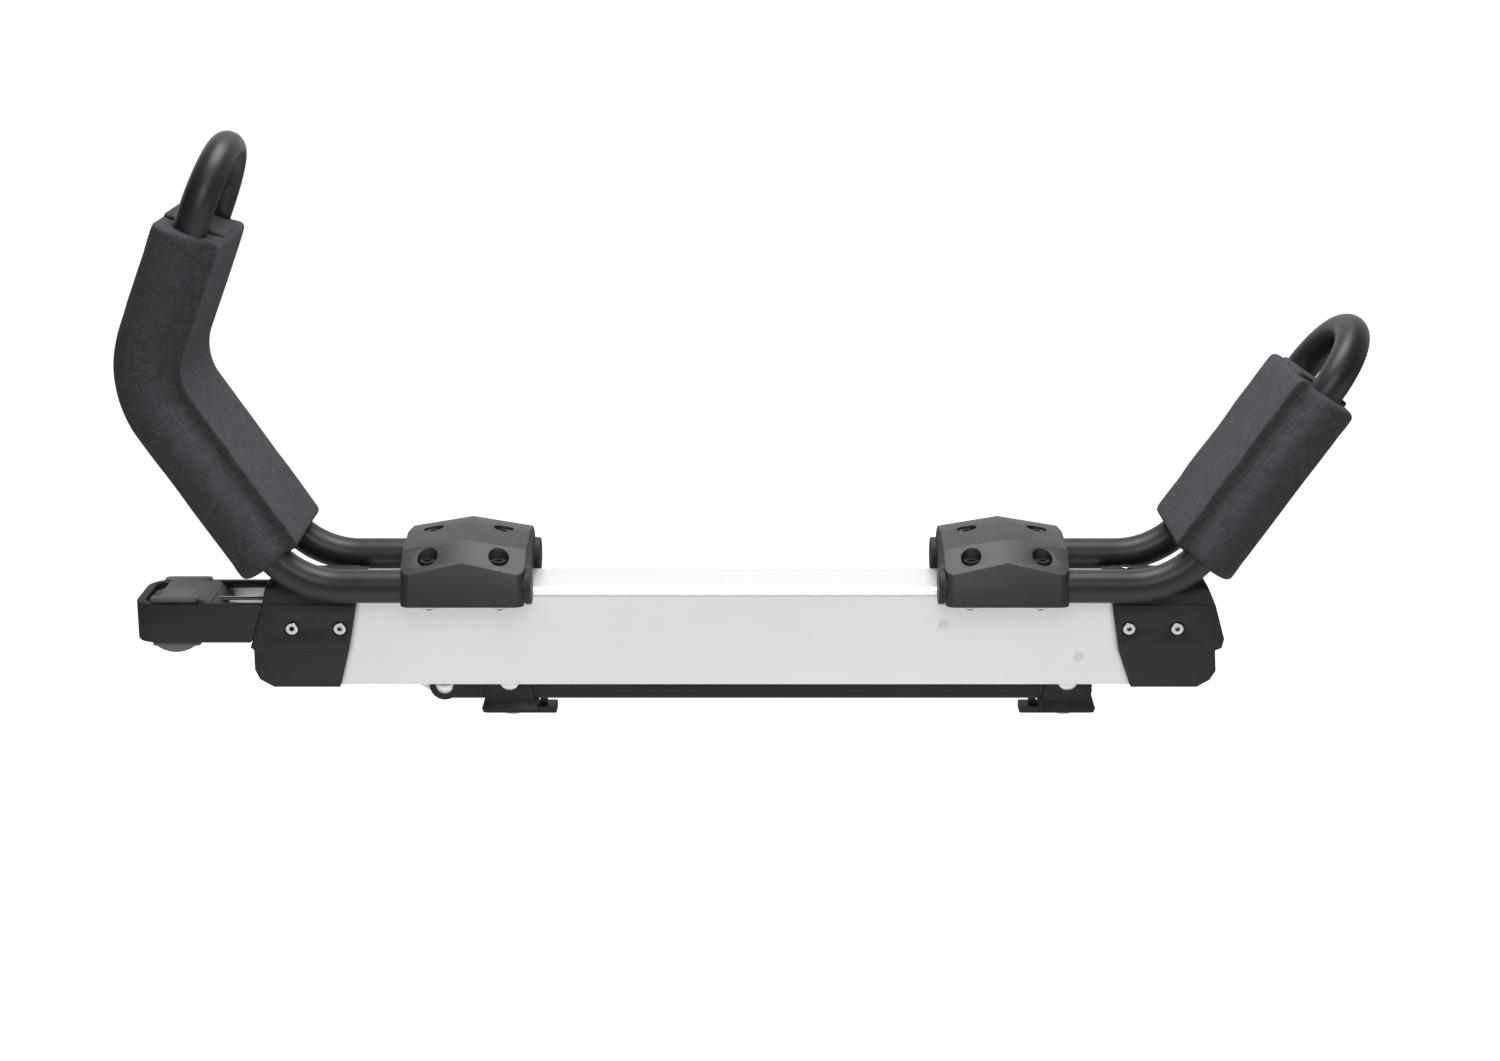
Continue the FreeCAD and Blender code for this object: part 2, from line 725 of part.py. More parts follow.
def sleeve(points, radii, top):
    """Padded sleeve round both legs, from above the lower bend to its top end."""
    side = -1 if points[1][0] < points[0][0] else 1
    corners = [Vector(x, 0, z) for x, z in points[1:]]
    runs = [b.sub(a).normalize() for a, b in zip(corners, corners[1:])]
    start = corners[0].add(runs[0] * pad_end_gap)
    parts = []
    for i, run in enumerate(runs):
        outward = Vector(side * run.z, 0, -side * run.x)
        if i == len(runs) - 1:
            end = corners[i].add(run * top)
        else:
            radius = radii[i + 1]
            setback = radius * math.tan(run.getAngle(runs[i + 1]) / 2)
            end = corners[i + 1].sub(run * setback)
        parts.append(pad_section(start, outward).extrude(end.sub(start)))
        if i < len(runs) - 1:
            turn = math.degrees(run.getAngle(runs[i + 1]))
            parts.append(pad_section(end, outward).revolve(end.sub(outward * radius),
                                                           run.cross(runs[i + 1]), turn))
            start = corners[i + 1].add(runs[i + 1] * setback)
    return fuse(parts)


def saddle_pad(points, radii, top):
    solid = sleeve(points, radii, top)
    wire = arm_wire(points, radii)
    start = Vector(points[0][0], -leg_y, points[0][1])
    direction = Vector(1 if points[1][0] > points[0][0] else -1, 0, 0)
    return solid.cut(pipe(wire, start, direction, tube_radius + running))


def clamp_roof(centre):
    """Faceted roof of a saddle clamp, its ridge lines meeting over the centre."""
    break_drop = clamp_slope_y * clamp_break_y
    reach = clamp_half_width + 10
    shoulder = clamp_crown - break_drop
    edge = shoulder - clamp_slope_outer * (reach - clamp_break_y)
    half = clamp_half_length + 5
    low = tube_height - clamp_drop - half * clamp_slope_x - 30
    points = [(-reach, low), (reach, low), (reach, tube_height + edge),
              (clamp_break_y, tube_height + shoulder), (0, clamp_top),
              (-clamp_break_y, tube_height + shoulder), (-reach, tube_height + edge)]
    wire = Part.makePolygon([Vector(centre, y, z) for y, z in points + points[:1]])
    face = Part.Face(wire)
    halves = [face.extrude(Vector(side * half, 0, -half * clamp_slope_x)) for side in (-1, 1)]
    return halves[0].fuse(halves[1])


def saddle_clamp(centre):
    """Moulded clamp over the beam and both tubes, bolted down in three rows."""
    draft = clamp_draft * (clamp_crown + clamp_drop)
    skirt = end_prism([(-clamp_half_width, clamp_bottom), (clamp_half_width, clamp_bottom),
                       (clamp_half_width - draft, clamp_top), (-clamp_half_width + draft, clamp_top)],
                      centre - clamp_half_length, centre + clamp_half_length)
    uprights = [e for e in skirt.Edges if abs(e.CenterOfMass.x - centre) > clamp_half_length - 0.1
                and abs(e.CenterOfMass.y) > clamp_half_width / 2]
    skirt = skirt.makeFillet(clamp_corner, uprights)
    solid = skirt.common(clamp_roof(centre)).removeSplitter()
    far = clamp_half_length + 1
    solid = solid.cut(beam_envelope(centre - far, centre + far, slip))
    for side in (-1, 1):
        bore = cylinder("x", side * leg_y, tube_height, tube_radius + slip,
                        centre - far, centre + far)
        mouth = box(centre - far, centre + far, side * leg_y - tube_radius - slip,
                    side * leg_y + tube_radius + slip, clamp_bottom - 1, tube_height)
        solid = solid.cut(bore).cut(mouth)
    for row in (-leg_y, 0, leg_y):
        for x in (centre - bolt_pitch / 2, centre + bolt_pitch / 2):
            floor = recess_floor(row)
            solid = solid.cut(cylinder("z", x, row, recess_diameter / 2, floor, clamp_top + 5))
            solid = solid.cut(cylinder("z", x, row, bolt_diameter / 2 + slip,
                                       clamp_bottom - 1, clamp_top))
    return solid


def roof_height(x_off, y):
    if abs(y) < clamp_break_y:
        rise = clamp_crown - clamp_slope_y * abs(y)
    else:
        rise = (clamp_crown - clamp_slope_y * clamp_break_y
                - clamp_slope_outer * (abs(y) - clamp_break_y))
    return tube_height + rise - clamp_slope_x * abs(x_off)


def recess_floor(row):
    return roof_height(bolt_pitch / 2, row) - recess_depth


def clamp_bolt(x, row):
    """Flanged bolt from its recess down through tube or beam."""
    floor = recess_floor(row)
    seat = nut_seat(row)
    head = cylinder("z", x, row, bolt_head_diameter / 2, floor, floor + bolt_head_height)
    socket = hexagon(x, row, floor + bolt_socket_floor, bolt_head_height, bolt_socket)
    end = seat - washer_thickness - nut_height - bolt_tail
    shank = cylinder("z", x, row, bolt_diameter / 2, end, floor)
    shank = shank.makeChamfer(1, [e for e in shank.Edges if abs(e.CenterOfMass.z - end) < 0.1])
    return head.cut(socket).fuse(shank)


def nut_seat(row):
    return web_under if row == 0 else tube_height - tube_radius


def clamp_washer(x, row):
    seat = nut_seat(row)
    ring = cylinder("z", x, row, washer_diameter / 2, seat - washer_thickness, seat)
    return ring.cut(cylinder("z", x, row, bolt_diameter / 2 + pin_play, beam_bottom, clamp_top))


def clamp_nut(x, row):
    top = nut_seat(row) - washer_thickness
    nut = hexagon(x, row, top - nut_height, nut_height, nut_flats)
    return nut.cut(cylinder("z", x, row, bolt_diameter / 2 + pin_play, beam_bottom, clamp_top))


def handle_wire(y_line):
    """Open U in plan at one distance from the centreline, round at its corners."""
    offset = handle_half_width - y_line
    x_end = handle_end_x + offset
    radius = handle_corner - offset
    points = [Vector(handle_legs_x, -y_line, 0), Vector(x_end + radius, -y_line, 0)]
    corner = radius * (1 - math.cos(math.pi / 4))
    mid = Vector(x_end + corner, -y_line + corner, 0)
    arc = Part.Arc(points[1], mid, Vector(x_end, -y_line + radius, 0)).toShape()
    half = [Part.LineSegment(*points).toShape(), arc]
    bar = Part.LineSegment(Vector(x_end, -y_line + radius, 0),
                           Vector(x_end, y_line - radius, 0)).toShape()
    rest = [edge.mirror(Vector(0, 0, 0), Vector(0, 1, 0)) for edge in reversed(half)]
    return half + [bar] + rest


def handle_band(outer_line, inner_line, z0, z1, x_stop):
    """U-shaped band between two lines, drawn up from z0 to z1 and cut off at x_stop."""
    outer = handle_wire(outer_line)
    inner = handle_wire(inner_line)
    ends = [Part.LineSegment(Vector(handle_legs_x, side * outer_line, 0),
                             Vector(handle_legs_x, side * inner_line, 0)).toShape()
            for side in (-1, 1)]
    face = Part.Face(Part.Wire(Part.__sortEdges__(outer + inner + ends)))
    band = face.extrude(Vector(0, 0, z1 - z0))
    band.translate(Vector(0, 0, z0))
    tails = [box(handle_legs_x, x_stop, side * inner_line, side * outer_line, z0, z1)
             for side in (-1, 1)]
    return fuse([band] + tails)


def handle_grip():
    """Moulded grip with a groove on its inside that holds the metal strip."""
    inner_line = handle_half_width - handle_thickness
    band = handle_band(handle_half_width, inner_line, handle_bottom, handle_top,
                       beam_outboard_end)
    groove = handle_band(strip_outer + slip, inner_line - 1,
                         strip_mid_z - strip_height / 2 - slip,
                         strip_mid_z + strip_height / 2 + slip, beam_outboard_end)
    back_x = beam_outboard_end + 1
    cap_side = outboard_front(running) + [(back_x, cap_step), (back_x, cap_top)]
    return band.cut(groove).cut(side_prism(cap_side, -2 * leg_y, 2 * leg_y))


def handle_strip():
    strip = handle_band(strip_outer, strip_inner, strip_mid_z - strip_height / 2,
                        strip_mid_z + strip_height / 2, beam_outboard_end - slip)
    return strip.cut(cylinder("y", outboard_rivets[0], rivet_height,
                              rivet_body / 2 + pin_play, -2 * leg_y, 2 * leg_y))


def trigger_section(low, high):
    """Side view of the trigger: two plates, a web between them and a half-oval nose."""
    centre = Vector(trigger_nose_centre, 0, (low + high) / 2)
    rise = Vector(0, 0, (high - low) / 2)
    depth = Vector(trigger_nose_depth, 0, 0)
    if trigger_nose_depth > rise.z:
        oval = Part.Ellipse(centre.add(depth), centre.add(rise), centre)
        nose = Part.ArcOfEllipse(oval, -math.pi / 2, math.pi / 2).toShape()
    else:
        oval = Part.Ellipse(centre.add(rise), centre.add(depth), centre)
        nose = Part.ArcOfEllipse(oval, 0, math.pi).toShape()
    top, bottom = centre.add(rise), centre.sub(rise)
    back = [(top.x, high), (trigger_plate_x, high), (trigger_plate_x, high - trigger_plate),
            (trigger_web_x, high - trigger_plate), (trigger_web_x, low + trigger_plate),
            (trigger_plate_x, low + trigger_plate), (trigger_plate_x, low), (bottom.x, low)]
    points = [Vector(x, 0, z) for x, z in back]
    lines = [Part.LineSegment(a, b).toShape() for a, b in zip(points, points[1:])]
    return Part.Face(Part.Wire(Part.__sortEdges__(lines + [nose])))


def trigger_wing(side, z0, z1, inside):
    """Tab of the trigger that lies over or under one strap."""
    wing = box(trigger_flange_x, trigger_flange_x + trigger_wing_length,
               side * (inside - trigger_wing_root), side * strip_outer, z0, z1)
    return wing.makeFillet(trigger_wing_round,
                           edges_along(wing, "z", lambda p: p.y * side > inside))


def trigger_belly(side, z, inside):
    """Rounded underside of a lower tab, deepest at its middle."""
    x0 = trigger_flange_x + trigger_wing_round
    x1 = trigger_flange_x + trigger_wing_length - trigger_wing_round
    ends = [Vector(x, side * strip_outer, z) for x in (x0, x1)]
    middle = Vector((x0 + x1) / 2, side * strip_outer, z - trigger_wing_belly)
    outline = [Part.LineSegment(*ends).toShape(), Part.Arc(ends[0], middle, ends[1]).toShape()]
    face = Part.Face(Part.Wire(outline))
    return face.extrude(Vector(0, side * (inside - trigger_wing_root - strip_outer), 0))


def trigger():
    """Squeeze bar between the straps, with tabs over and under them and a ribbed nose."""
    low = handle_bottom - running - trigger_plate
    high = handle_top + running + trigger_plate
    inside = handle_half_width - handle_thickness - running - slip
    body = trigger_section(low, high).extrude(Vector(0, 2 * inside, 0))
    body.translate(Vector(0, -inside, 0))
    mid, rise = (low + high) / 2, (high - low) / 2
    for angle in (-24, 0, 24, 48):
        x = trigger_nose_centre + trigger_nose_depth * math.cos(math.radians(angle))
        z = mid + rise * math.sin(math.radians(angle))
        body = body.fuse(cylinder("y", x, z, trigger_ridge, 3 - inside, inside - 3))
    for side in (-1, 1):
        body = body.fuse(trigger_wing(side, high - trigger_plate, high, inside))
        body = body.fuse(trigger_wing(side, low, low + trigger_plate, inside))
        body = body.fuse(trigger_belly(side, low, inside))
    socket = cylinder("x", 0, rod_z, rod_diameter / 2 + pin_play, trigger_web_x + rod_seat,
                      beam_outboard_end)
    return body.removeSplitter().cut(socket)


def pull_rod():
    """Rod from the trigger to the latch, flattened and slotted at its far end."""
    rod = cylinder("x", 0, rod_z, rod_diameter / 2, trigger_web_x + rod_seat + slip,
                   latch_x - eye_back + 2)
    half = latch_thickness / 2 + running + eye_wall
    eye = box(latch_x - eye_back, latch_x + eye_front, -half, half,
              rod_z - eye_depth, rod_z + latch_head)
    eye = eye.makeFillet(3, edges_along(eye, "y", lambda p: True))
    eye = eye.cut(box(latch_x - eye_back + eye_web, latch_x + eye_front + 1,
                      eye_wall - half, half - eye_wall, latch_z, rod_z + latch_arm))
    swing = trigger_travel / latch_arm
    drop = latch_arm * (1 - math.cos(swing))
    slack = trigger_travel - latch_arm * math.sin(swing)
    wide = latch_drive / 2 + slack + running
    slot = box(latch_x - wide, latch_x + wide, -20, 20,
               rod_z - drop - latch_drive / 2 - running, rod_z + latch_drive / 2 + running)
    return rod.fuse(eye).cut(slot)


def latch():
    """Pawl on its axle: a drive pin above and a hook below, over the keeper."""
    half = latch_thickness / 2
    tip = rail_top + keeper_height + latch_tip_gap
    hub = cylinder("y", latch_x, latch_z, latch_hub, -half, half)
    head = cylinder("y", latch_x, rod_z, latch_head, -half, half)
    neck = box(latch_x - latch_head + 0.5, latch_x + latch_head - 0.5, -half, half, latch_z, rod_z)
    tail = side_prism([(latch_x - 7, latch_z), (latch_x + 7, latch_z), (latch_x + 3, tip + 6),
                       (latch_x - 2, tip), (latch_x - 12, tip), (latch_x - 11, tip + 7)],
                      -half, half)
    tail = tail.common(cylinder("y", latch_x, latch_z, latch_z - tip, -half, half))
    pin_reach = half + running + eye_wall
    pin = cylinder("y", latch_x, rod_z, latch_drive / 2, -pin_reach, pin_reach)
    body = fuse([hub, head, neck, tail, pin])
    return body.cut(cylinder("y", latch_x, latch_z, axle_diameter / 2 + pin_play, -20, 20))


def cross_axle(x, z):
    """Axle through both walls of the beam, with a domed head outside each."""
    shank = cylinder("y", x, z, axle_diameter / 2, -beam_half_width, beam_half_width)
    heads = [domed_head(x, z, side * beam_half_width, side, axle_head_radius,
                        axle_head_height) for side in (-1, 1)]
    return fuse([shank] + heads)


def carriage_plate(side):
    """Swivel plate from the pivot lobe up to the two roller axles."""
    high = roller_z + plate_margin - 1
    outline = [(pivot_x - 4, pivot_z - 9), (pivot_x + 9, pivot_z + 4),
               (roller_xs[1] + plate_margin, high - plate_margin), (roller_xs[1], high),
               (roller_xs[0], high), (roller_xs[0] - plate_margin, high - plate_margin),
               (roller_xs[0] + 2, pivot_z + 18)]
    y0, y1 = side * plate_inner, side * plate_outer
    plate = side_prism(outline, y0, y1)
    plate = plate.makeFillet(4, edges_along(plate, "y", lambda p: p.z > pivot_z + 10))
    plate = plate.fuse(cylinder("y", pivot_x, pivot_z, plate_lobe_radius, y0, y1))
    plate = plate.cut(cylinder("y", pivot_x, pivot_z, roller_axle / 2 + pin_play, -40, 40))
    for x in roller_xs:
        plate = plate.cut(cylinder("y", x, roller_z, roller_axle / 2 + pin_play, -40, 40))
    window = side_prism([(roller_xs[0] + 12, roller_z - 14), (roller_xs[1] - 4, roller_z - 14),
                         (pivot_x - 8, pivot_z + 26), (pivot_x - 26, pivot_z + 24)], -40, 40)
    return plate.cut(window).removeSplitter()


def carriage_spacer(x, z):
    tube = cylinder("y", x, z, spacer_radius, -plate_inner, plate_inner)
    return tube.cut(cylinder("y", x, z, spacer_bore / 2, -plate_outer, plate_outer))


def stub_axle(x, side):
    """Short axle riveted into its plate, with a flange inside."""
    flange = cylinder("y", x, roller_z, stub_flange_radius, side * plate_inner,
                      side * (plate_inner - stub_flange))
    shank = cylinder("y", x, roller_z, roller_axle / 2, side * plate_inner,
                     side * (plate_outer + running + roller_width))
    return flange.fuse(shank)


def track_roller(x, side):
    """Moulded wheel that runs in the beam's track."""
    y0 = side * (plate_outer + running)
    wheel = cylinder("y", x, roller_z, roller_radius, y0, y0 + side * roller_width)
    wheel = wheel.makeChamfer(1, [e for e in wheel.Edges if len(e.Vertexes) == 1])
    return wheel.cut(cylinder("y", x, roller_z, roller_axle / 2 + pin_play, -40, 40))


def support_roller(side):
    """Wheel that carries the beam's inboard end along the top of the rail."""
    radius = support_z - rail_top - running
    wheel = cylinder("y", support_x, support_z, radius, side * support_inner, side * support_outer)
    wheel = wheel.makeChamfer(1, [e for e in wheel.Edges if len(e.Vertexes) == 1])
    return wheel.cut(cylinder("y", support_x, support_z, axle_diameter / 2 + pin_play, -40, 40))


def roller_collar(side):
    """Spacer ring between a support roller's outer face and the beam's wall."""
    ring = cylinder("y", support_x, support_z, collar_radius, side * (support_outer + running),
                    side * beam_inner)
    return ring.cut(cylinder("y", support_x, support_z, axle_diameter / 2 + pin_play, -40, 40))


outboard_points, outboard_radii = leg_route(clamp_outboard_x + clamp_half_length + slip,
                                            outboard_bend_x, outboard_upper_angle,
                                            [(outboard_angle, outboard_kink_height)],
                                            outboard_upper_reach)
inboard_points, inboard_radii = leg_route(clamp_inboard_x - clamp_half_length - slip,
                                          inboard_bend_x, inboard_angle, [], inboard_reach)
bolt_places = [(x, row) for x in bolt_xs() for row in (-leg_y, 0, leg_y)]
plug_ends = [(outboard_points[0][0], 1), (inboard_points[0][0], -1)]

nodes = {
    "base_rail": [base_rail()],
    "outboard_foot": [foot(foot_centres[0])],
    "inboard_foot": [foot(foot_centres[1])],
    "outboard_sole_pads": sole_pads(foot_centres[0]),
    "inboard_sole_pads": sole_pads(foot_centres[1]),
    "outboard_slider": [slider(foot_centres[0])],
    "inboard_slider": [slider(foot_centres[1])],
    "slider_bolts": [slider_bolt_solid(x) for x in foot_centres],
    "slider_nuts": [slider_nut(x) for x in foot_centres],
    "foot_pins": [foot_pin(x) for x in foot_centres],
    "pivot_pin": [pivot_pin()],
    "latch_keeper": [keeper()],
    "carriage_plates": [carriage_plate(side) for side in (-1, 1)],
    "carriage_spacers": [carriage_spacer(pivot_x - spacer_lead, pivot_z + spacer_rise)],
    "carriage_axles": [stub_axle(x, side) for x in roller_xs for side in (-1, 1)],
    "outer_track_rollers": [track_roller(roller_xs[0], side) for side in (-1, 1)],
    "inner_track_rollers": [track_roller(roller_xs[1], side) for side in (-1, 1)],
    "beam": [beam()],
    "outboard_cap": [outboard_cap()],
    "inboard_cap": [inboard_cap()],
    "cap_rivets": ([cap_rivet(outboard_rivets[0], side, strip_inner - strap_backing)
                    for side in (-1, 1)]
                   + [cap_rivet(x, side, beam_inner) for side in (-1, 1)
                      for x in (outboard_rivets[1],) + inboard_rivets]
                   + [top_rivet(side) for side in (-1, 1)]),
    "handle_grip": [handle_grip()],
    "handle_strip": [handle_strip()],
    "trigger": [trigger()],
    "pull_rod": [pull_rod()],
    "latch": [latch()],
    "latch_axle": [cross_axle(latch_x, latch_z)],
    "support_axle": [cross_axle(support_x, support_z)],
    "support_rollers": [support_roller(side) for side in (-1, 1)],
    "support_collars": [roller_collar(side) for side in (-1, 1)],
    "outboard_saddle_tube": [saddle_tube(outboard_points, outboard_radii, bolt_xs()[:2])],
    "inboard_saddle_tube": [saddle_tube(inboard_points, inboard_radii, bolt_xs()[2:])],
    "tube_plugs": [tube_plug(x, outward, side * leg_y)
                   for x, outward in plug_ends for side in (-1, 1)],
    "outboard_saddle_pad": [saddle_pad(outboard_points, outboard_radii, outboard_pad_top)],
    "inboard_saddle_pad": [saddle_pad(inboard_points, inboard_radii, inboard_pad_top)],
    "outboard_saddle_clamp": [saddle_clamp(clamp_outboard_x)],
    "inboard_saddle_clamp": [saddle_clamp(clamp_inboard_x)],
    "clamp_bolts": [clamp_bolt(x, row) for x, row in bolt_places],
    "clamp_washers": [clamp_washer(x, row) for x, row in bolt_places],
    "clamp_nuts": [clamp_nut(x, row) for x, row in bolt_places],
}

os.makedirs("parts", exist_ok=True)
for name, shapes in nodes.items():
    solids = [solid for shape in shapes for solid in shape.Solids]
    if not solids or not all(solid.isValid() for solid in solids):
        raise RuntimeError("bad solid in " + name)
    shape = solids[0] if len(solids) == 1 else Part.makeCompound(solids)
    shape.exportStep("parts/" + name + ".step")
    print(name, len(solids), round(sum(solid.Volume for solid in solids)))
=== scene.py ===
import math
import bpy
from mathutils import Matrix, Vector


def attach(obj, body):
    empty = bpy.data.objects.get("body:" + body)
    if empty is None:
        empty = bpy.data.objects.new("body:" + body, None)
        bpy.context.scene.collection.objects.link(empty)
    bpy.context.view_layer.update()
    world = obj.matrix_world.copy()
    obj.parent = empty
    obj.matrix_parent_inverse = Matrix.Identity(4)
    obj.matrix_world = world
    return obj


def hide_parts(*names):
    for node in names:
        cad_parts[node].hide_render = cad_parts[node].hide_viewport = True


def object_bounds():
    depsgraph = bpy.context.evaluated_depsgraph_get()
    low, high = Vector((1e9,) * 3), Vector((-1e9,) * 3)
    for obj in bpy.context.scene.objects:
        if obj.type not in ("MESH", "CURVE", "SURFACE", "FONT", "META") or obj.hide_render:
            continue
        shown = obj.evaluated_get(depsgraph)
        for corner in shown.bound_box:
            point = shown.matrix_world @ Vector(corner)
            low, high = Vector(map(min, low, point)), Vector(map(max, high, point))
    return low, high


bl_info = {
    "name": "Kayak saddle carrier",
    "version": (1, 0, 0),
    "blender": (4, 5, 0),
    "location": "3D View > Sidebar > Carrier",
    "description": "Padded sleeves, moulded parts, finishes and studio of a slide-out kayak carrier",
    "category": "Object",
}

import bmesh
import bpy
import numpy as np
from bpy.props import FloatProperty, FloatVectorProperty, IntProperty, PointerProperty
from mathutils import Matrix, Vector, noise

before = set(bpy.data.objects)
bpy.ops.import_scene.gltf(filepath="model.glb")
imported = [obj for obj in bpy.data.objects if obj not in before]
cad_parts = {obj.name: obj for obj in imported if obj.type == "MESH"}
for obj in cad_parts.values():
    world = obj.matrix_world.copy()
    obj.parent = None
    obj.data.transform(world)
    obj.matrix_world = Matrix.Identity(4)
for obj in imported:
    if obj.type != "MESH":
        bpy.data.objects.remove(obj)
CAD_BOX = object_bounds()

# The two legs in the XZ plane, in metres: foot of the leg, its kink if it has one, its end.
OUTBOARD_LEG = ((-0.4120, 0.1148), (-0.5284, 0.2894), (-0.4769, 0.4249))
INBOARD_LEG = ((0.3243, 0.1148), (0.4367, 0.2790))

# Creases in the cloth: along the sleeve, round it from the middle of its inner face, length,
# width, depth (metres) and slant in degrees from the sleeve's length.
OUTBOARD_CREASES = (
    (0.150, -0.094, 0.028, 0.0022, 0.0005, 62), (0.176, -0.098, 0.026, 0.0022, 0.0005, 78),
    (0.192, -0.088, 0.024, 0.0020, 0.0005, 98), (0.206, -0.098, 0.026, 0.0024, 0.0004, 112),
    (0.232, -0.092, 0.026, 0.0022, 0.0004, 48), (0.186, -0.030, 0.044, 0.0026, 0.0005, 84),
    (0.178, 0.022, 0.044, 0.0024, 0.0005, 96), (0.176, 0.096, 0.030, 0.0022, 0.0005, -80),
    (0.205, 0.094, 0.028, 0.0022, 0.0005, -104), (0.060, -0.096, 0.028, 0.0026, 0.0003, 60),
    (0.120, -0.024, 0.030, 0.0022, 0.0004, 55), (0.090, -0.036, 0.026, 0.0022, 0.0004, 40),
)
INBOARD_CREASES = (
    (0.132, -0.094, 0.024, 0.0020, 0.0005, 52), (0.112, -0.098, 0.026, 0.0020, 0.0005, 40),
    (0.092, -0.092, 0.026, 0.0020, 0.0005, 60), (0.066, -0.097, 0.026, 0.0022, 0.0004, 44),
    (0.150, -0.100, 0.022, 0.0020, 0.0004, 66), (0.040, -0.096, 0.028, 0.0022, 0.0004, 35),
    (0.128, -0.026, 0.030, 0.0020, 0.0005, 60), (0.100, -0.038, 0.028, 0.0020, 0.0005, 38),
    (0.078, -0.018, 0.034, 0.0022, 0.0004, 68), (0.104, 0.096, 0.028, 0.0022, 0.0005, -55),
)


class PaddingSizes(bpy.types.PropertyGroup):
    half_width: FloatProperty(
        name="Half width", description="From the middle of a sleeve to its front face",
        default=0.0745, unit="LENGTH")
    outer_face: FloatProperty(
        name="Outer face", description="From the tubes' middle plane to the face away from the boat",
        default=0.0295, unit="LENGTH")
    inner_face: FloatProperty(
        name="Inner face", description="From the tubes' middle plane to the face against the boat",
        default=0.0270, unit="LENGTH")
    inner_flat: FloatProperty(
        name="Inner flat", description="Half width of the flat that meets the boat",
        default=0.0590, unit="LENGTH")
    groove_inset: FloatProperty(
        name="Groove inset", description="How far the groove cuts in under the flat's crisp edge",
        default=0.0022, unit="LENGTH")
    groove_floor: FloatProperty(
        name="Groove depth", description="From the inner face down to the groove's lowest line",
        default=0.0098, unit="LENGTH")
    shoulder: FloatProperty(
        name="Shoulder", description="From the inner face down to where the side begins",
        default=0.0260, unit="LENGTH")
    outer_round: FloatProperty(
        name="Outer rounding", description="Radius of the section's outer corners",
        default=0.0190, unit="LENGTH")
    bend_radius: FloatProperty(
        name="Kink radius", description="Radius of the outboard leg's upper bend",
        default=0.070, unit="LENGTH")
    start: FloatProperty(
        name="Start", description="From the lower bend's corner to the sleeve's bottom end",
        default=0.0262, unit="LENGTH")
    outboard_top: FloatProperty(
        name="Outboard top", description="From the kink to the outboard sleeve's top end",
        default=0.1310, unit="LENGTH")
    inboard_top: FloatProperty(
        name="Inboard top", description="From the lower bend's corner to the inboard sleeve's top end",
        default=0.1985, unit="LENGTH")
    shrink: FloatProperty(
        name="Shrink", description="How much smaller the foam is cut before it swells",
        default=0.0004, unit="LENGTH")
    cell: FloatProperty(
        name="Cloth cell", description="Size of one cell of the simulated cloth",
        default=0.0060, unit="LENGTH")
    end_round: FloatProperty(
        name="End rounding", description="Radius round the rims of a sleeve's ends",
        default=0.0050, unit="LENGTH")
    pressure: FloatProperty(
        name="Pressure", description="Pressure that fills the cloth", default=4.0)
    steps: IntProperty(
        name="Steps", description="Frames of simulation", default=20)
    swell: FloatProperty(
        name="Swell limit", description="Farthest that a point of the cloth may move",
        default=0.0006, unit="LENGTH")
    flap_thickness: FloatProperty(
        name="Flap thickness", description="Thickness of the folded flap over a sleeve's top",
        default=0.0022, unit="LENGTH")
    flap_half_width: FloatProperty(
        name="Flap half width", description="Half width of the folded flap",
        default=0.0330, unit="LENGTH")


class RoundingSizes(bpy.types.PropertyGroup):
    clamp: FloatProperty(
        name="Clamp edges", description="Rounding of the saddle clamps' edges",
        default=0.0016, unit="LENGTH")
    cap: FloatProperty(
        name="Cap edges", description="Rounding of the end caps' edges",
        default=0.0012, unit="LENGTH")
    grip: FloatProperty(
        name="Grip edges", description="Rounding of the handle's edges",
        default=0.0012, unit="LENGTH")
    trigger: FloatProperty(
        name="Trigger edges", description="Rounding of the trigger's edges",
        default=0.0010, unit="LENGTH")
    foot: FloatProperty(
        name="Foot edges", description="Rounding of the feet's edges",
        default=0.0010, unit="LENGTH")


class FinishColours(bpy.types.PropertyGroup):
    tube: FloatVectorProperty(
        name="Tube paint", description="Satin powder coat of the saddle tubes",
        subtype="COLOR", size=3, default=(0.014, 0.014, 0.0145))
    moulded: FloatVectorProperty(
        name="Moulded charcoal", description="Grained plastic of the caps, grip and feet",
        subtype="COLOR", size=3, default=(0.026, 0.026, 0.028))
    clamp: FloatVectorProperty(
        name="Clamp grey", description="Grained plastic of the saddle clamps",
        subtype="COLOR", size=3, default=(0.024, 0.024, 0.026))
    trigger: FloatVectorProperty(
        name="Trigger grey", description="Plastic of the squeeze trigger",
        subtype="COLOR", size=3, default=(0.19, 0.192, 0.197))
    cloth_dark: FloatVectorProperty(
        name="Dark thread", description="Darker threads of the sleeves' cloth",
        subtype="COLOR", size=3, default=(0.024, 0.024, 0.027))
    cloth_light: FloatVectorProperty(
        name="Light thread", description="Lighter threads of the sleeves' cloth",
        subtype="COLOR", size=3, default=(0.108, 0.105, 0.121))
    anodised: FloatVectorProperty(
        name="Anodised silver", description="Beam and handle strip",
        subtype="COLOR", size=3, default=(0.93, 0.93, 0.935))
    zinc: FloatVectorProperty(
        name="Bright steel", description="Pins, rivets, bolts and nuts",
        subtype="COLOR", size=3, default=(0.58, 0.58, 0.59))
    black_steel: FloatVectorProperty(
        name="Black steel", description="Base rail and carriage",
        subtype="COLOR", size=3, default=(0.020, 0.020, 0.021))
    rubber: FloatVectorProperty(
        name="Rubber", description="Sole pads under the feet",
        subtype="COLOR", size=3, default=(0.014, 0.014, 0.014))
    nylon: FloatVectorProperty(
        name="Nylon", description="Rollers in the beam",
        subtype="COLOR", size=3, default=(0.60, 0.60, 0.58))


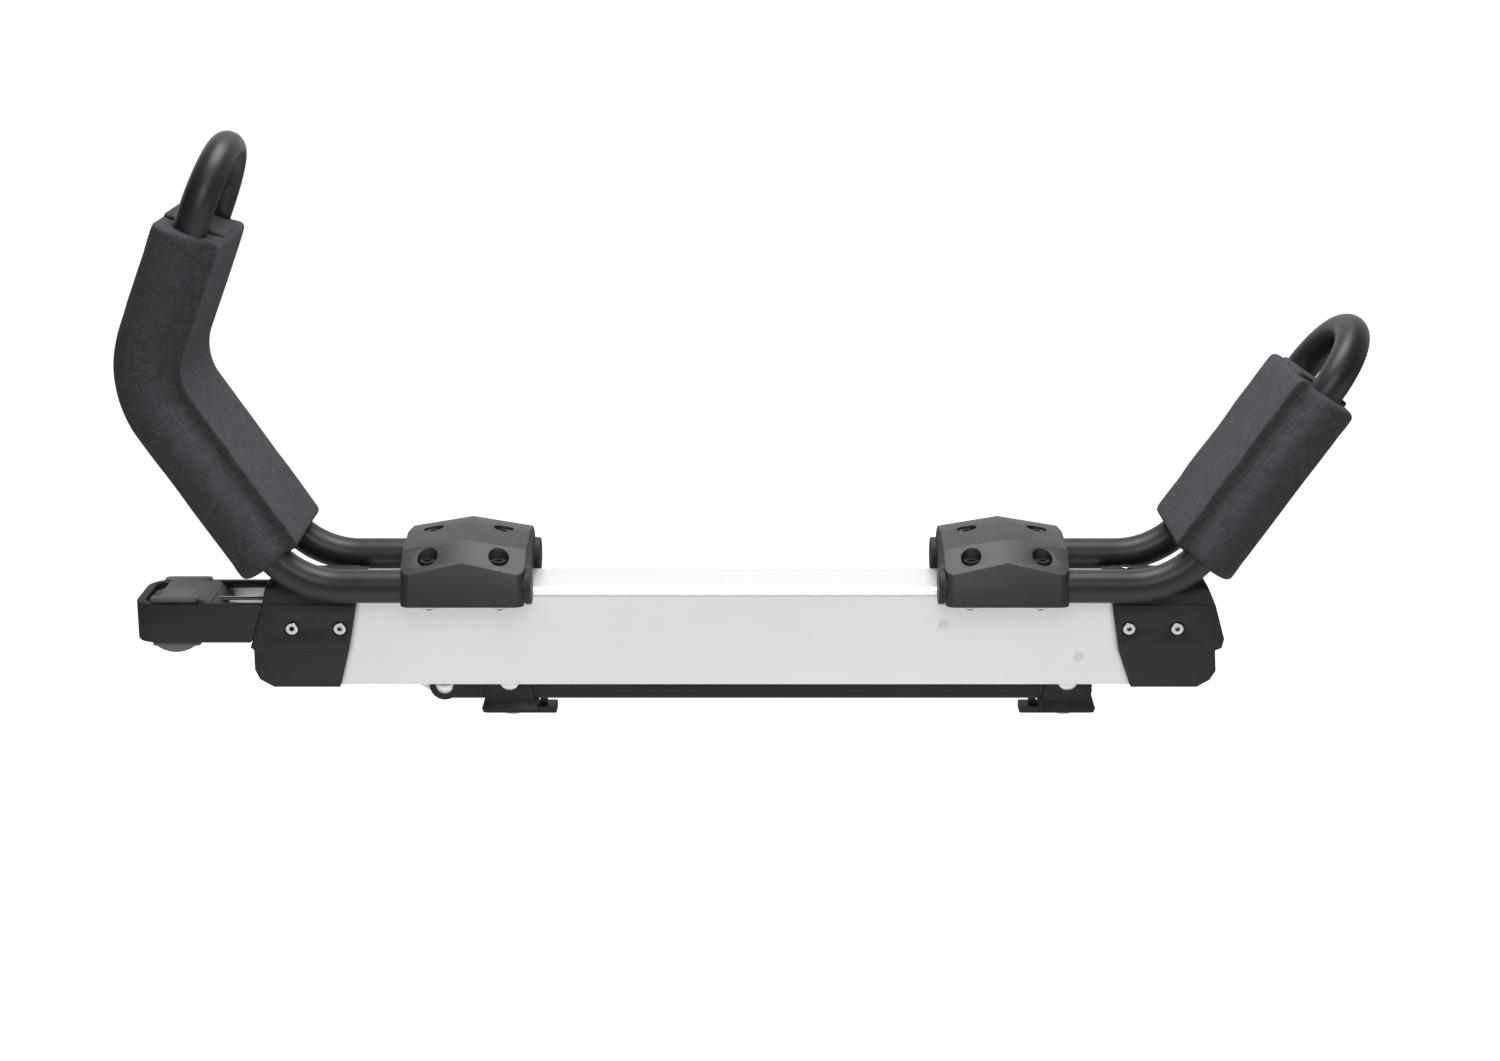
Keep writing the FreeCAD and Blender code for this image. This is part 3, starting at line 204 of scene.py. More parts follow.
class StudioSizes(bpy.types.PropertyGroup):
    floor_drop: FloatProperty(
        name="Floor gap",
        description="From the feet down to the floor, which the tilted beam has to clear",
        default=0.60, unit="LENGTH")
    floor_size: FloatProperty(
        name="Floor size", description="Side of the square floor", default=14.0, unit="LENGTH")
    floor_colour: FloatVectorProperty(
        name="Floor colour", description="Colour of the pale floor",
        subtype="COLOR", size=3, default=(0.88, 0.88, 0.88))
    floor_glow: FloatProperty(
        name="Floor glow", description="How white the floor looks to the camera", default=0.58)
    top_power: FloatProperty(
        name="Top light", description="Power of the soft box overhead, in watts", default=26.0)
    front_power: FloatProperty(
        name="Front light", description="Power of the soft box by the camera, in watts",
        default=10.0)
    side_power: FloatProperty(
        name="Side light", description="Power of the strip light at the right, in watts",
        default=1.5)
    camera_place: FloatVectorProperty(
        name="Camera place", description="Where the photograph was taken from",
        subtype="TRANSLATION", size=3, default=(-0.0327, -2.1355, 0.7217))
    camera_pitch: FloatProperty(
        name="Camera pitch", description="How far the camera looks down",
        subtype="ANGLE", default=math.radians(15.0))
    camera_lens: FloatProperty(
        name="Lens", description="Focal length on a 36 mm sensor, in millimetres", default=62.71)


# Shader helpers

def shader(tree, kind, feeds=None, **settings):
    """Adds a node. feeds maps its sockets to plain values or to the sockets that feed them."""
    node = tree.nodes.new("ShaderNode" + kind)
    for key, value in settings.items():
        setattr(node, key, value)
    for key, value in (feeds or {}).items():
        if isinstance(value, bpy.types.NodeSocket):
            tree.links.new(value, node.inputs[key])
        else:
            node.inputs[key].default_value = value
    return node


def maths(tree, operation, *values):
    feeds = dict(enumerate(values))
    return shader(tree, "Math", feeds, operation=operation).outputs[0]


def spread(tree, value, low, high, out_low=0.0, out_high=1.0):
    feeds = {"Value": value, "From Min": low, "From Max": high,
             "To Min": out_low, "To Max": out_high}
    return shader(tree, "MapRange", feeds).outputs[0]


def blend_colour(tree, factor, first, second, mode="MIX"):
    node = shader(tree, "Mix", data_type="RGBA", blend_type=mode)
    for socket, value in (("Factor_Float", factor), ("A_Color", first), ("B_Color", second)):
        target = next(s for s in node.inputs if s.identifier == socket)
        if isinstance(value, bpy.types.NodeSocket):
            tree.links.new(value, target)
        elif socket == "Factor_Float":
            target.default_value = value
        else:
            target.default_value = (*value, 1.0)
    return next(s for s in node.outputs if s.identifier == "Result_Color")


def effect_group(name, inputs, outputs):
    """An empty shader group with its sockets, and the nodes that stand for them."""
    tree = bpy.data.node_groups.new(name, "ShaderNodeTree")
    for label, value in inputs:
        socket = tree.interface.new_socket(label, in_out="INPUT", socket_type="NodeSocketFloat")
        socket.default_value = value
    for label in outputs:
        tree.interface.new_socket(label, in_out="OUTPUT", socket_type="NodeSocketFloat")
    given = tree.nodes.new("NodeGroupInput").outputs
    result = tree.nodes.new("NodeGroupOutput").inputs
    return tree, given, result


def grain_group():
    """Fine grain of moulded plastic and powder coat, and a slow cloudiness."""
    tree, given, result = effect_group("moulded grain", (("Cell", 0.001),), ("Height", "Cloud"))
    place = shader(tree, "TexCoord").outputs["Object"]
    scale = maths(tree, "DIVIDE", 1.0, given["Cell"])
    fine = shader(tree, "TexNoise", {"Vector": place, "Scale": scale, "Detail": 2.0,
                                     "Roughness": 0.6}).outputs["Fac"]
    cells = shader(tree, "TexVoronoi", {"Vector": place, "Scale": scale}).outputs["Distance"]
    cloud = shader(tree, "TexNoise", {"Vector": place, "Scale": 14.0, "Detail": 4.0,
                                      "Roughness": 0.55}).outputs["Fac"]
    height = maths(tree, "ADD", maths(tree, "MULTIPLY", fine, 0.7),
                   maths(tree, "MULTIPLY", cells, 0.3))
    tree.links.new(height, result["Height"])
    tree.links.new(cloud, result["Cloud"])
    return tree


def wear_group():
    """Mask of the edges that hands and straps rub, broken up by noise."""
    tree, given, result = effect_group("edge wear", (("Radius", 0.0008),), ("Mask",))
    round_normal = shader(tree, "Bevel", {"Radius": given["Radius"]}, samples=3).outputs["Normal"]
    plain_normal = shader(tree, "NewGeometry").outputs["Normal"]
    likeness = shader(tree, "VectorMath", {0: round_normal, 1: plain_normal},
                      operation="DOT_PRODUCT").outputs["Value"]
    edge = spread(tree, likeness, 0.985, 0.88)
    place = shader(tree, "TexCoord").outputs["Object"]
    patches = shader(tree, "TexNoise", {"Vector": place, "Scale": 90.0, "Detail": 5.0,
                                        "Roughness": 0.65}).outputs["Fac"]
    mask = maths(tree, "MULTIPLY", edge, spread(tree, patches, 0.42, 0.68))
    tree.links.new(mask, result["Mask"])
    return tree


def weave_group():
    """Plain weave that follows the sleeve, with uneven threads."""
    tree, given, result = effect_group("sleeve weave", (("Pitch", 0.0015),),
                                       ("Height", "Threads", "Clouds"))
    laid = shader(tree, "Attribute", attribute_name="cloth").outputs["Vector"]
    waver = shader(tree, "TexNoise", {"Vector": laid, "Scale": 60.0, "Detail": 2.0})
    shift = shader(tree, "VectorMath", {0: waver.outputs["Color"], 1: (0.0012, 0.0012, 0.0)},
                   operation="MULTIPLY").outputs[0]
    cloth = shader(tree, "VectorMath", {0: laid, 1: shift}, operation="ADD").outputs[0]
    parts = shader(tree, "SeparateXYZ", {0: cloth}).outputs
    turn = maths(tree, "DIVIDE", math.tau, given["Pitch"])
    warp = maths(tree, "SINE", maths(tree, "MULTIPLY", parts["X"], turn))
    weft = maths(tree, "SINE", maths(tree, "MULTIPLY", parts["Y"], turn))
    height = maths(tree, "MULTIPLY_ADD", maths(tree, "MULTIPLY", warp, weft), 0.5, 0.5)
    streaks = []
    for stretch in ((90.0, 1800.0, 40.0), (1800.0, 90.0, 40.0)):
        lines = shader(tree, "Mapping", {"Vector": cloth, "Scale": stretch}).outputs[0]
        streaks.append(shader(tree, "TexNoise", {"Vector": lines, "Scale": 1.0, "Detail": 2.0,
                                                 "Roughness": 0.6}).outputs["Fac"])
    both = maths(tree, "MULTIPLY", maths(tree, "ADD", *streaks), 0.5)
    threads = maths(tree, "MULTIPLY_ADD", spread(tree, both, 0.36, 0.66), 0.75,
                    maths(tree, "MULTIPLY", height, 0.25))
    clouds = shader(tree, "TexNoise", {"Vector": laid, "Scale": 32.0, "Detail": 4.0,
                                       "Roughness": 0.6}).outputs["Fac"]
    tree.links.new(height, result["Height"])
    tree.links.new(threads, result["Threads"])
    tree.links.new(clouds, result["Clouds"])
    return tree


def brushed_group():
    """Long fine die lines of an extrusion, drawn along X."""
    tree, given, result = effect_group("die lines", (("Fineness", 1500.0),), ("Lines", "Cloud"))
    place = shader(tree, "TexCoord").outputs["Object"]
    stretch = shader(tree, "CombineXYZ", {"X": 2.0, "Y": given["Fineness"],
                                          "Z": given["Fineness"]}).outputs[0]
    along = shader(tree, "VectorMath", {0: place, 1: stretch}, operation="MULTIPLY").outputs[0]
    lines = shader(tree, "TexNoise", {"Vector": along, "Scale": 1.0, "Detail": 3.0}).outputs["Fac"]
    cloud = shader(tree, "TexNoise", {"Vector": place, "Scale": 9.0, "Detail": 3.0}).outputs["Fac"]
    tree.links.new(lines, result["Lines"])
    tree.links.new(cloud, result["Cloud"])
    return tree


def crevice_shade_group():
    """Painted shade: mask of the recesses and seams that little light reaches, taken from ambient
    occlusion and used to darken their colour.
    """
    tree, given, result = effect_group("crevices", (("Reach", 0.006),), ("Mask",))
    open_share = shader(tree, "AmbientOcclusion", {"Distance": given["Reach"]},
                        samples=3).outputs["AO"]
    tree.links.new(spread(tree, open_share, 0.92, 0.35), result["Mask"])
    return tree


def dust_group():
    """Thin film of dust that settles where a surface looks up."""
    tree, given, result = effect_group("settled dust", (("Amount", 0.15),), ("Mask",))
    facing = shader(tree, "SeparateXYZ",
                    {0: shader(tree, "NewGeometry").outputs["Normal"]}).outputs["Z"]
    place = shader(tree, "TexCoord").outputs["Object"]
    patches = shader(tree, "TexNoise", {"Vector": place, "Scale": 26.0, "Detail": 6.0,
                                        "Roughness": 0.7}).outputs["Fac"]
    mask = maths(tree, "MULTIPLY", spread(tree, facing, 0.35, 0.95),
                 spread(tree, patches, 0.35, 0.75))
    tree.links.new(maths(tree, "MULTIPLY", mask, given["Amount"]), result["Mask"])
    return tree


def placed(tree, group, **values):
    node = tree.nodes.new("ShaderNodeGroup")
    node.node_tree = group
    for label, value in values.items():
        node.inputs[label].default_value = value
    return node.outputs


def new_material(name):
    material = bpy.data.materials.new(name)
    material.use_nodes = True
    tree = material.node_tree
    principled = tree.nodes["Principled BSDF"]
    return material, tree, principled


def grained(name, groups, colour, roughness, cell, bump, wear, dust=0.12, gloss=0.5,
            light=(0.30, 0.30, 0.31)):
    """Moulded or coated surface: grain, clouded colour, rubbed edges, a little dust and painted shade
    that darkens its recesses.
    """
    material, tree, principled = new_material(name)
    grain = placed(tree, groups["grain"], Cell=cell)
    rubbed = placed(tree, groups["wear"])["Mask"]
    dusty = placed(tree, groups["dust"], Amount=dust)["Mask"]
    deep = tuple(0.86 * c for c in colour)
    pale = tuple(1.12 * c for c in colour)
    base = blend_colour(tree, spread(tree, grain["Cloud"], 0.3, 0.7), deep, pale)
    base = blend_colour(tree, maths(tree, "MULTIPLY", rubbed, wear), base, light)
    # Painted shade: recesses, wells and seams darkened towards near black by the ambient-occlusion
    # mask.
    painted_recess_shade = placed(tree, groups["crevice"], Reach=0.008)["Mask"]
    base = blend_colour(tree, maths(tree, "MULTIPLY", painted_recess_shade, 0.75), base, (0.004, 0.004, 0.004))
    base = blend_colour(tree, dusty, base, (0.33, 0.32, 0.30))
    tree.links.new(base, principled.inputs["Base Color"])
    rough = spread(tree, grain["Height"], 0.2, 0.8, roughness - 0.06, roughness + 0.08)
    rough = maths(tree, "ADD", rough, maths(tree, "MULTIPLY", dusty, 0.5))
    tree.links.new(rough, principled.inputs["Roughness"])
    principled.inputs["Specular IOR Level"].default_value = gloss
    height = shader(tree, "Bump", {"Height": grain["Height"], "Strength": bump,
                                   "Distance": 0.0003}).outputs[0]
    tree.links.new(height, principled.inputs["Normal"])
    return material


def metal(name, groups, colour, roughness, fineness, metallic=1.0, bump=0.05, dust=0.03):
    """Bright metal with die or turning lines, slight cloudiness and painted shade in its seams and
    round its heads.
    """
    material, tree, principled = new_material(name)
    lines = placed(tree, groups["brushed"], Fineness=fineness)
    dusty = placed(tree, groups["dust"], Amount=dust)["Mask"]
    # Painted shade: seams and the rings round pin and rivet heads darkened towards near black by the
    # ambient-occlusion mask.
    painted_crevice_shade = placed(tree, groups["crevice"], Reach=0.005)["Mask"]
    deep = tuple(0.95 * c for c in colour)
    base = blend_colour(tree, spread(tree, lines["Cloud"], 0.3, 0.7), deep, colour)
    base = blend_colour(tree, maths(tree, "MULTIPLY", painted_crevice_shade, 0.8), base, (0.02, 0.02, 0.02))
    base = blend_colour(tree, dusty, base, (0.5, 0.49, 0.47))
    tree.links.new(base, principled.inputs["Base Color"])
    rough = spread(tree, lines["Lines"], 0.3, 0.7, roughness - 0.05, roughness + 0.05)
    tree.links.new(rough, principled.inputs["Roughness"])
    principled.inputs["Metallic"].default_value = metallic
    height = shader(tree, "Bump", {"Height": lines["Lines"], "Strength": bump,
                                   "Distance": 0.0002}).outputs[0]
    tree.links.new(height, principled.inputs["Normal"])
    return material


def sleeve_cloth(groups, dark, light):
    """Woven polyester over foam, with a soft sheen, fine pulls and painted shade that darkens its
    groove and hollows.
    """
    material, tree, principled = new_material("sleeve cloth")
    weave = placed(tree, groups["weave"], Pitch=0.0015)
    dusty = placed(tree, groups["dust"], Amount=0.05)["Mask"]
    threads = maths(tree, "MULTIPLY", weave["Threads"],
                    spread(tree, weave["Clouds"], 0.25, 0.75, 0.88, 1.06))
    base = blend_colour(tree, threads, dark, light)
    # Painted shade: the groove beside the inner flat and the other hollows darkened towards near black
    # by a wide ambient-occlusion mask.
    painted_crevice_shade = placed(tree, groups["crevice"], Reach=0.030)["Mask"]
    base = blend_colour(tree, maths(tree, "MULTIPLY", painted_crevice_shade, 0.80), base, (0.006, 0.006, 0.007))
    base = blend_colour(tree, dusty, base, (0.30, 0.29, 0.29))
    tree.links.new(base, principled.inputs["Base Color"])
    rough = spread(tree, weave["Threads"], 0.0, 1.0, 0.92, 0.72)
    tree.links.new(rough, principled.inputs["Roughness"])
    principled.inputs["Sheen Weight"].default_value = 0.05
    principled.inputs["Sheen Roughness"].default_value = 0.45
    principled.inputs["Sheen Tint"].default_value = (0.80, 0.78, 0.92, 1.0)
    principled.inputs["Specular IOR Level"].default_value = 0.25
    pulls = shader(tree, "Bump", {"Height": weave["Clouds"], "Strength": 0.35,
                                  "Distance": 0.0012}).outputs[0]
    threads_up = shader(tree, "Bump", {"Height": weave["Height"], "Strength": 0.35,
                                       "Distance": 0.0003, "Normal": pulls}).outputs[0]
    tree.links.new(threads_up, principled.inputs["Normal"])
    return material


def paint_all(obj, material):
    obj.data.materials.clear()
    obj.data.materials.append(material)


# Mesh helpers

def new_object(name, bm, material):
    mesh = bpy.data.meshes.new(name)
    bm.to_mesh(mesh)
    bm.free()
    obj = bpy.data.objects.new(name, mesh)
    bpy.context.scene.collection.objects.link(obj)
    paint_all(obj, material)
    return obj


def keep_evaluated(obj):
    """Replaces an object's mesh by what its modifiers make of it, and drops them."""
    graph = bpy.context.evaluated_depsgraph_get()
    mesh = bpy.data.meshes.new_from_object(obj.evaluated_get(graph))
    obj.modifiers.clear()
    old, obj.data = obj.data, mesh
    bpy.data.meshes.remove(old)


def merged_copy(node):
    """A node's surface with its loose triangles joined and its flat faces whole."""
    bm = bmesh.new()
    bm.from_mesh(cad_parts[node].data)
    bmesh.ops.remove_doubles(bm, verts=bm.verts, dist=2e-6)
    bmesh.ops.dissolve_limit(bm, angle_limit=math.radians(0.6), verts=bm.verts, edges=bm.edges,
                             delimit={"NORMAL"})
    return bm


def round_edges(bm, width, segments=2, corner=22.0):
    """Rounds every edge that turns by more than a corner angle, in degrees."""
    limit = math.radians(corner)
    sharp = [e for e in bm.edges if len(e.link_faces) == 2 and e.calc_face_angle() > limit]
    bmesh.ops.bevel(bm, geom=sharp, offset=width, offset_type="OFFSET", affect="EDGES",
                    segments=segments, profile=0.5, material=-1, clamp_overlap=True)


def smooth_by_angle(obj, degrees=30.0):
    limit = math.radians(degrees)
    bm = bmesh.new()
    bm.from_mesh(obj.data)
    for face in bm.faces:
        face.smooth = True
    for edge in bm.edges:
        edge.smooth = len(edge.link_faces) != 2 or edge.calc_face_angle() < limit
    bm.to_mesh(obj.data)
    bm.free()


def rounded_node(node, width, material, body, segments=2):
    """A moulded node with rounded edges, in its own place, standing for the plain one."""
    bm = merged_copy(node)
    round_edges(bm, width, segments)
    obj = new_object(node + "_rounded", bm, material)
    smooth_by_angle(obj)
    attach(obj, body)
    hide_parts(node)
    return obj


# Sleeves

def leg_lines(corners):
    """Corner points of a leg, the direction of each run, and which way is away from the boat."""
    points = [Vector((x, 0.0, z)) for x, z in corners]
    runs = [(b - a).normalized() for a, b in zip(points, points[1:])]
    side = -1 if corners[1][0] < corners[0][0] else 1
    return points, runs, side


def outward(run, side):
    return Vector((side * run.z, 0.0, -side * run.x))


def section_ring(bm, base, out, sizes):
    """Closed ring of a sleeve's section, its corners round and its flats divided."""
    trim = sizes.shrink
    half, outer, inner = sizes.half_width - trim, sizes.outer_face - trim, sizes.inner_face - trim
    flat, groove = sizes.inner_flat, sizes.inner_flat - sizes.groove_inset
    row = [(flat, -inner, 0.0020), (groove, sizes.groove_floor - inner, 0.0030),
           (half, sizes.shoulder - inner, 0.0080), (half, outer, sizes.outer_round)]
    row += [(-across, rise, bend) for across, rise, bend in reversed(row)]
    verts = [bm.verts.new(base + out * rise + Vector((0.0, across, 0.0)))
             for across, rise, _ in row]
    bm.faces.new(verts)
    for vert, (_, _, bend) in zip(verts, row):
        bmesh.ops.bevel(bm, geom=[vert], offset=bend, offset_type="OFFSET", affect="VERTICES",
                        segments=4, profile=0.5, material=-1)
    bmesh.ops.delete(bm, geom=list(bm.faces), context="FACES_ONLY")
    for edge in list(bm.edges):
        cuts = int(edge.calc_length() / sizes.cell)
        if cuts:
            bmesh.ops.subdivide_edges(bm, edges=[edge], cuts=cuts)
    return list(bm.edges)


def measure_round(bm, base, out, layer):
    """Writes on each point of the first ring how far it lies from the inner face's middle."""
    first = min(bm.verts, key=lambda v: abs(v.co.y) + 5.0 * (v.co - base).dot(out))
    walk, seen = [first], {first}
    while True:
        steps = [e.other_vert(walk[-1]) for e in walk[-1].link_edges]
        fresh = [v for v in steps if v not in seen]
        if not fresh:
            break
        walk.append(fresh[0])
        seen.add(fresh[0])
    lengths = [0.0]
    for a, b in zip(walk, walk[1:]):
        lengths.append(lengths[-1] + (b.co - a.co).length)
    whole = lengths[-1] + (walk[0].co - walk[-1].co).length
    for vert, length in zip(walk, lengths):
        vert[layer] = (0.0, min(length, whole - length), vert.co.y)


def carried(bm, ring, layer, length, move, **how):
    """Extrudes a ring by one step; move is the operator that takes its points along."""
    made = bmesh.ops.extrude_edge_only(bm, edges=ring)["geom"]
    points = [g for g in made if isinstance(g, bmesh.types.BMVert)]
    move(bm, verts=points, **how)
    for point in points:
        point[layer] = point[layer] + Vector((length, 0.0, 0.0))
    fresh = set(points)
    return [g for g in made if isinstance(g, bmesh.types.BMEdge)
            and g.verts[0] in fresh and g.verts[1] in fresh]


def sleeve_blank(corners, sizes, top):
    """Foam sleeve swept along a leg: up the first run, round the kink if there is one, and on."""
    points, runs, side = leg_lines(corners)
    bm = bmesh.new()
    layer = bm.verts.layers.float_vector.new("cloth")
    place = points[0] + runs[0] * (sizes.start + sizes.shrink + sizes.end_round)
    ring = section_ring(bm, place, outward(runs[0], side), sizes)
    measure_round(bm, place, outward(runs[0], side), layer)
    rounded_end(bm, ring, layer, place, -runs[0], outward(runs[0], side), sizes)
    for i, run in enumerate(runs):
        last = i == len(runs) - 1
        turn = 0.0 if last else run.angle(runs[i + 1])
        setback = sizes.bend_radius * math.tan(turn / 2)
        reach = top - sizes.shrink - sizes.end_round
        stop = points[i] + run * reach if last else points[i + 1] - run * setback
        length = (stop - place).length
        count = math.ceil(length / sizes.cell)
        shift = run * length / count
        for _ in range(count):
            ring = carried(bm, ring, layer, length / count, bmesh.ops.translate, vec=shift)
        if not last:
            centre = stop - outward(run, side) * sizes.bend_radius
            count = math.ceil(sizes.bend_radius * turn / sizes.cell * 1.3)
            swing = Matrix.Rotation(turn / count, 3, run.cross(runs[i + 1]).normalized())
            for _ in range(count):
                ring = carried(bm, ring, layer, sizes.bend_radius * turn / count,
                               bmesh.ops.rotate, cent=centre, matrix=swing)
            place = points[i + 1] + runs[i + 1] * setback
    rounded_end(bm, ring, layer, stop, runs[-1], outward(runs[-1], side), sizes)
    bmesh.ops.recalc_face_normals(bm, faces=bm.faces)
    return bm


def rounded_end(bm, ring, layer, place, run, out, sizes):
    """Rounds a sleeve's end over and closes it. What is flat there is held by the foam."""
    deform = bm.verts.layers.deform.verify()
    middle = place + out * (sizes.outer_face - sizes.inner_face) / 2
    space = Matrix(((0.0, 1.0, 0.0), tuple(out), tuple(run))).to_4x4()
    space = space @ Matrix.Translation(-middle)
    half = sizes.half_width
    deep = (sizes.outer_face + sizes.inner_face) / 2
    steps = [(sizes.end_round * math.sin(a), sizes.end_round * (1 - math.cos(a)))
             for a in (math.radians(30 * i) for i in (1, 2, 3))]
    steps += [(sizes.end_round, sizes.end_round + sizes.cell * i) for i in (1, 2)]
    risen, inset = 0.0, 0.0
    for rise, inward in steps:
        ring = carried(bm, ring, layer, rise - risen + inward - inset,
                       bmesh.ops.translate, vec=run * (rise - risen))
        points = list({v for e in ring for v in e.verts})
        shares = ((half - inward) / (half - inset), (deep - inward) / (deep - inset), 1.0)
        bmesh.ops.scale(bm, verts=points, vec=shares, space=space)
        risen, inset = rise, inward
        if inward >= sizes.end_round:
            for point in points:
                point[deform][0] = 1.0
    lid = bmesh.ops.holes_fill(bm, edges=ring, sides=0)["faces"]
    bmesh.ops.triangulate(bm, faces=lid)


def swollen(obj, sizes):
    """Fills the cloth with a little pressure, keeps it near the foam and applies the result."""
    scene = bpy.context.scene
    obj.vertex_groups.new(name="held")
    modifier = obj.modifiers.new("Cloth", "CLOTH")
    cloth = modifier.settings
    cloth.quality = 6
    cloth.mass = 0.25
    cloth.tension_stiffness = 25.0
    cloth.compression_stiffness = 18.0
    cloth.shear_stiffness = 8.0
    cloth.bending_stiffness = 1.5
    cloth.vertex_group_mass = "held"
    cloth.use_pressure = True
    cloth.uniform_pressure_force = sizes.pressure
    cloth.effector_weights.gravity = 0.0
    for step in range(1, sizes.steps + 1):
        scene.frame_set(step)
    graph = bpy.context.evaluated_depsgraph_get()
    grown = obj.evaluated_get(graph).to_mesh()
    count = len(obj.data.vertices)
    before = np.empty(count * 3)
    after = np.empty(count * 3)
    obj.data.vertices.foreach_get("co", before)
    grown.vertices.foreach_get("co", after)
    obj.evaluated_get(graph).to_mesh_clear()
    obj.modifiers.remove(modifier)
    obj.vertex_groups.clear()
    scene.frame_set(1)
    move = (after - before).reshape(-1, 3)
    length = np.linalg.norm(move, axis=1, keepdims=True)
    move *= np.minimum(1.0, sizes.swell / np.maximum(length, 1e-9))
    obj.data.vertices.foreach_set("co", (before.reshape(-1, 3) + move).ravel())
    obj.data.update()


def point_values(mesh, source, name):
    values = np.empty(len(mesh.vertices) * 3)
    source.foreach_get(name, values)
    return values.reshape(-1, 3)


def press_creases(obj, creases):
    """Pushes short creases and a slow unevenness into the cloth."""
    mesh = obj.data
    normals = point_values(mesh, mesh.vertices, "normal")
    co = point_values(mesh, mesh.vertices, "co")
    laid = point_values(mesh, mesh.attributes["cloth"].data, "vector")
    along = laid[:, 0]
    around = laid[:, 1] * np.where(co[:, 1] < 0, -1.0, 1.0)
    depth = np.zeros(len(co))
    for s, a, length, width, deep, slant in creases:
        angle = math.radians(slant)
        du, dv = along - s, around - a
        lengthwise = du * math.cos(angle) + dv * math.sin(angle)
        across = -du * math.sin(angle) + dv * math.cos(angle)
        across = across + 0.6 * width * np.sin(lengthwise * 260.0 + s * 900.0)
        trough = np.exp(-(across / width) ** 2)
        lips = 0.40 * np.exp(-((np.abs(across) - 2.0 * width) / width) ** 2)
        depth -= deep * (trough - lips) * np.exp(-(2.0 * lengthwise / length) ** 4)
    slow = np.array([noise.noise(Vector(p) * 22.0) + 0.5 * noise.noise(Vector(p) * 55.0)
                     for p in co.tolist()])
    depth += 0.0002 * slow
    co += normals * depth[:, None]
    mesh.vertices.foreach_set("co", co.ravel())
    mesh.update()


def make_sleeve(name, node, corners, top, creases, material):
    sizes = bpy.context.scene.carrier_padding
    obj = new_object(name, sleeve_blank(corners, sizes, top), material)
    swollen(obj, sizes)
    finer = obj.modifiers.new("Finer", "SUBSURF")
    finer.levels = finer.render_levels = 2
    keep_evaluated(obj)
    paint_all(obj, material)
    press_creases(obj, creases)
    for polygon in obj.data.polygons:
        polygon.use_smooth = True
    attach(obj, "beam")
    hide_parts(node)
    return obj


def make_flap(name, corners, top, material):
    """The folded cloth that closes a sleeve between its two tubes."""
    sizes = bpy.context.scene.carrier_padding
    points, runs, side = leg_lines(corners)
    direction = runs[-1]
    out = outward(direction, side)
    half, rise = sizes.flap_half_width, sizes.flap_thickness
    low = points[-2] + direction * (top - 0.004)
    bm = bmesh.new()
    layer = bm.verts.layers.float_vector.new("cloth")
    outline = ((-half, -sizes.inner_face + 0.003), (half, -sizes.inner_face + 0.003),
               (half, sizes.outer_face - 0.003), (-half, sizes.outer_face - 0.003))
    face = bm.faces.new([bm.verts.new(low + out * o + Vector((0.0, a, 0.0))) for a, o in outline])
    made = bmesh.ops.extrude_face_region(bm, geom=[face])["geom"]
    lifted = [g for g in made if isinstance(g, bmesh.types.BMVert)]
    bmesh.ops.translate(bm, verts=lifted, vec=direction * (0.004 + rise))
    uprights = [e for e in bm.edges
                if abs((e.verts[0].co - e.verts[1].co).normalized().dot(direction)) > 0.99]
    bmesh.ops.bevel(bm, geom=uprights, offset=0.006, offset_type="OFFSET", affect="EDGES",
                    segments=4, profile=0.5, material=-1)
    rim = [e for e in bm.edges if all((v.co - low).dot(direction) > 0.004 for v in e.verts)]
    bmesh.ops.bevel(bm, geom=rim, offset=0.0012, offset_type="OFFSET", affect="EDGES",
                    segments=3, profile=0.5, material=-1)
    bmesh.ops.recalc_face_normals(bm, faces=bm.faces)
    bmesh.ops.triangulate(bm, faces=[f for f in bm.faces if len(f.verts) > 4])
    for vert in bm.verts:
        vert[layer] = ((vert.co - low).dot(out), vert.co.y, 0.0)
    obj = new_object(name, bm, material)
    smooth_by_angle(obj, 40.0)
    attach(obj, "beam")
    return obj


# Operators

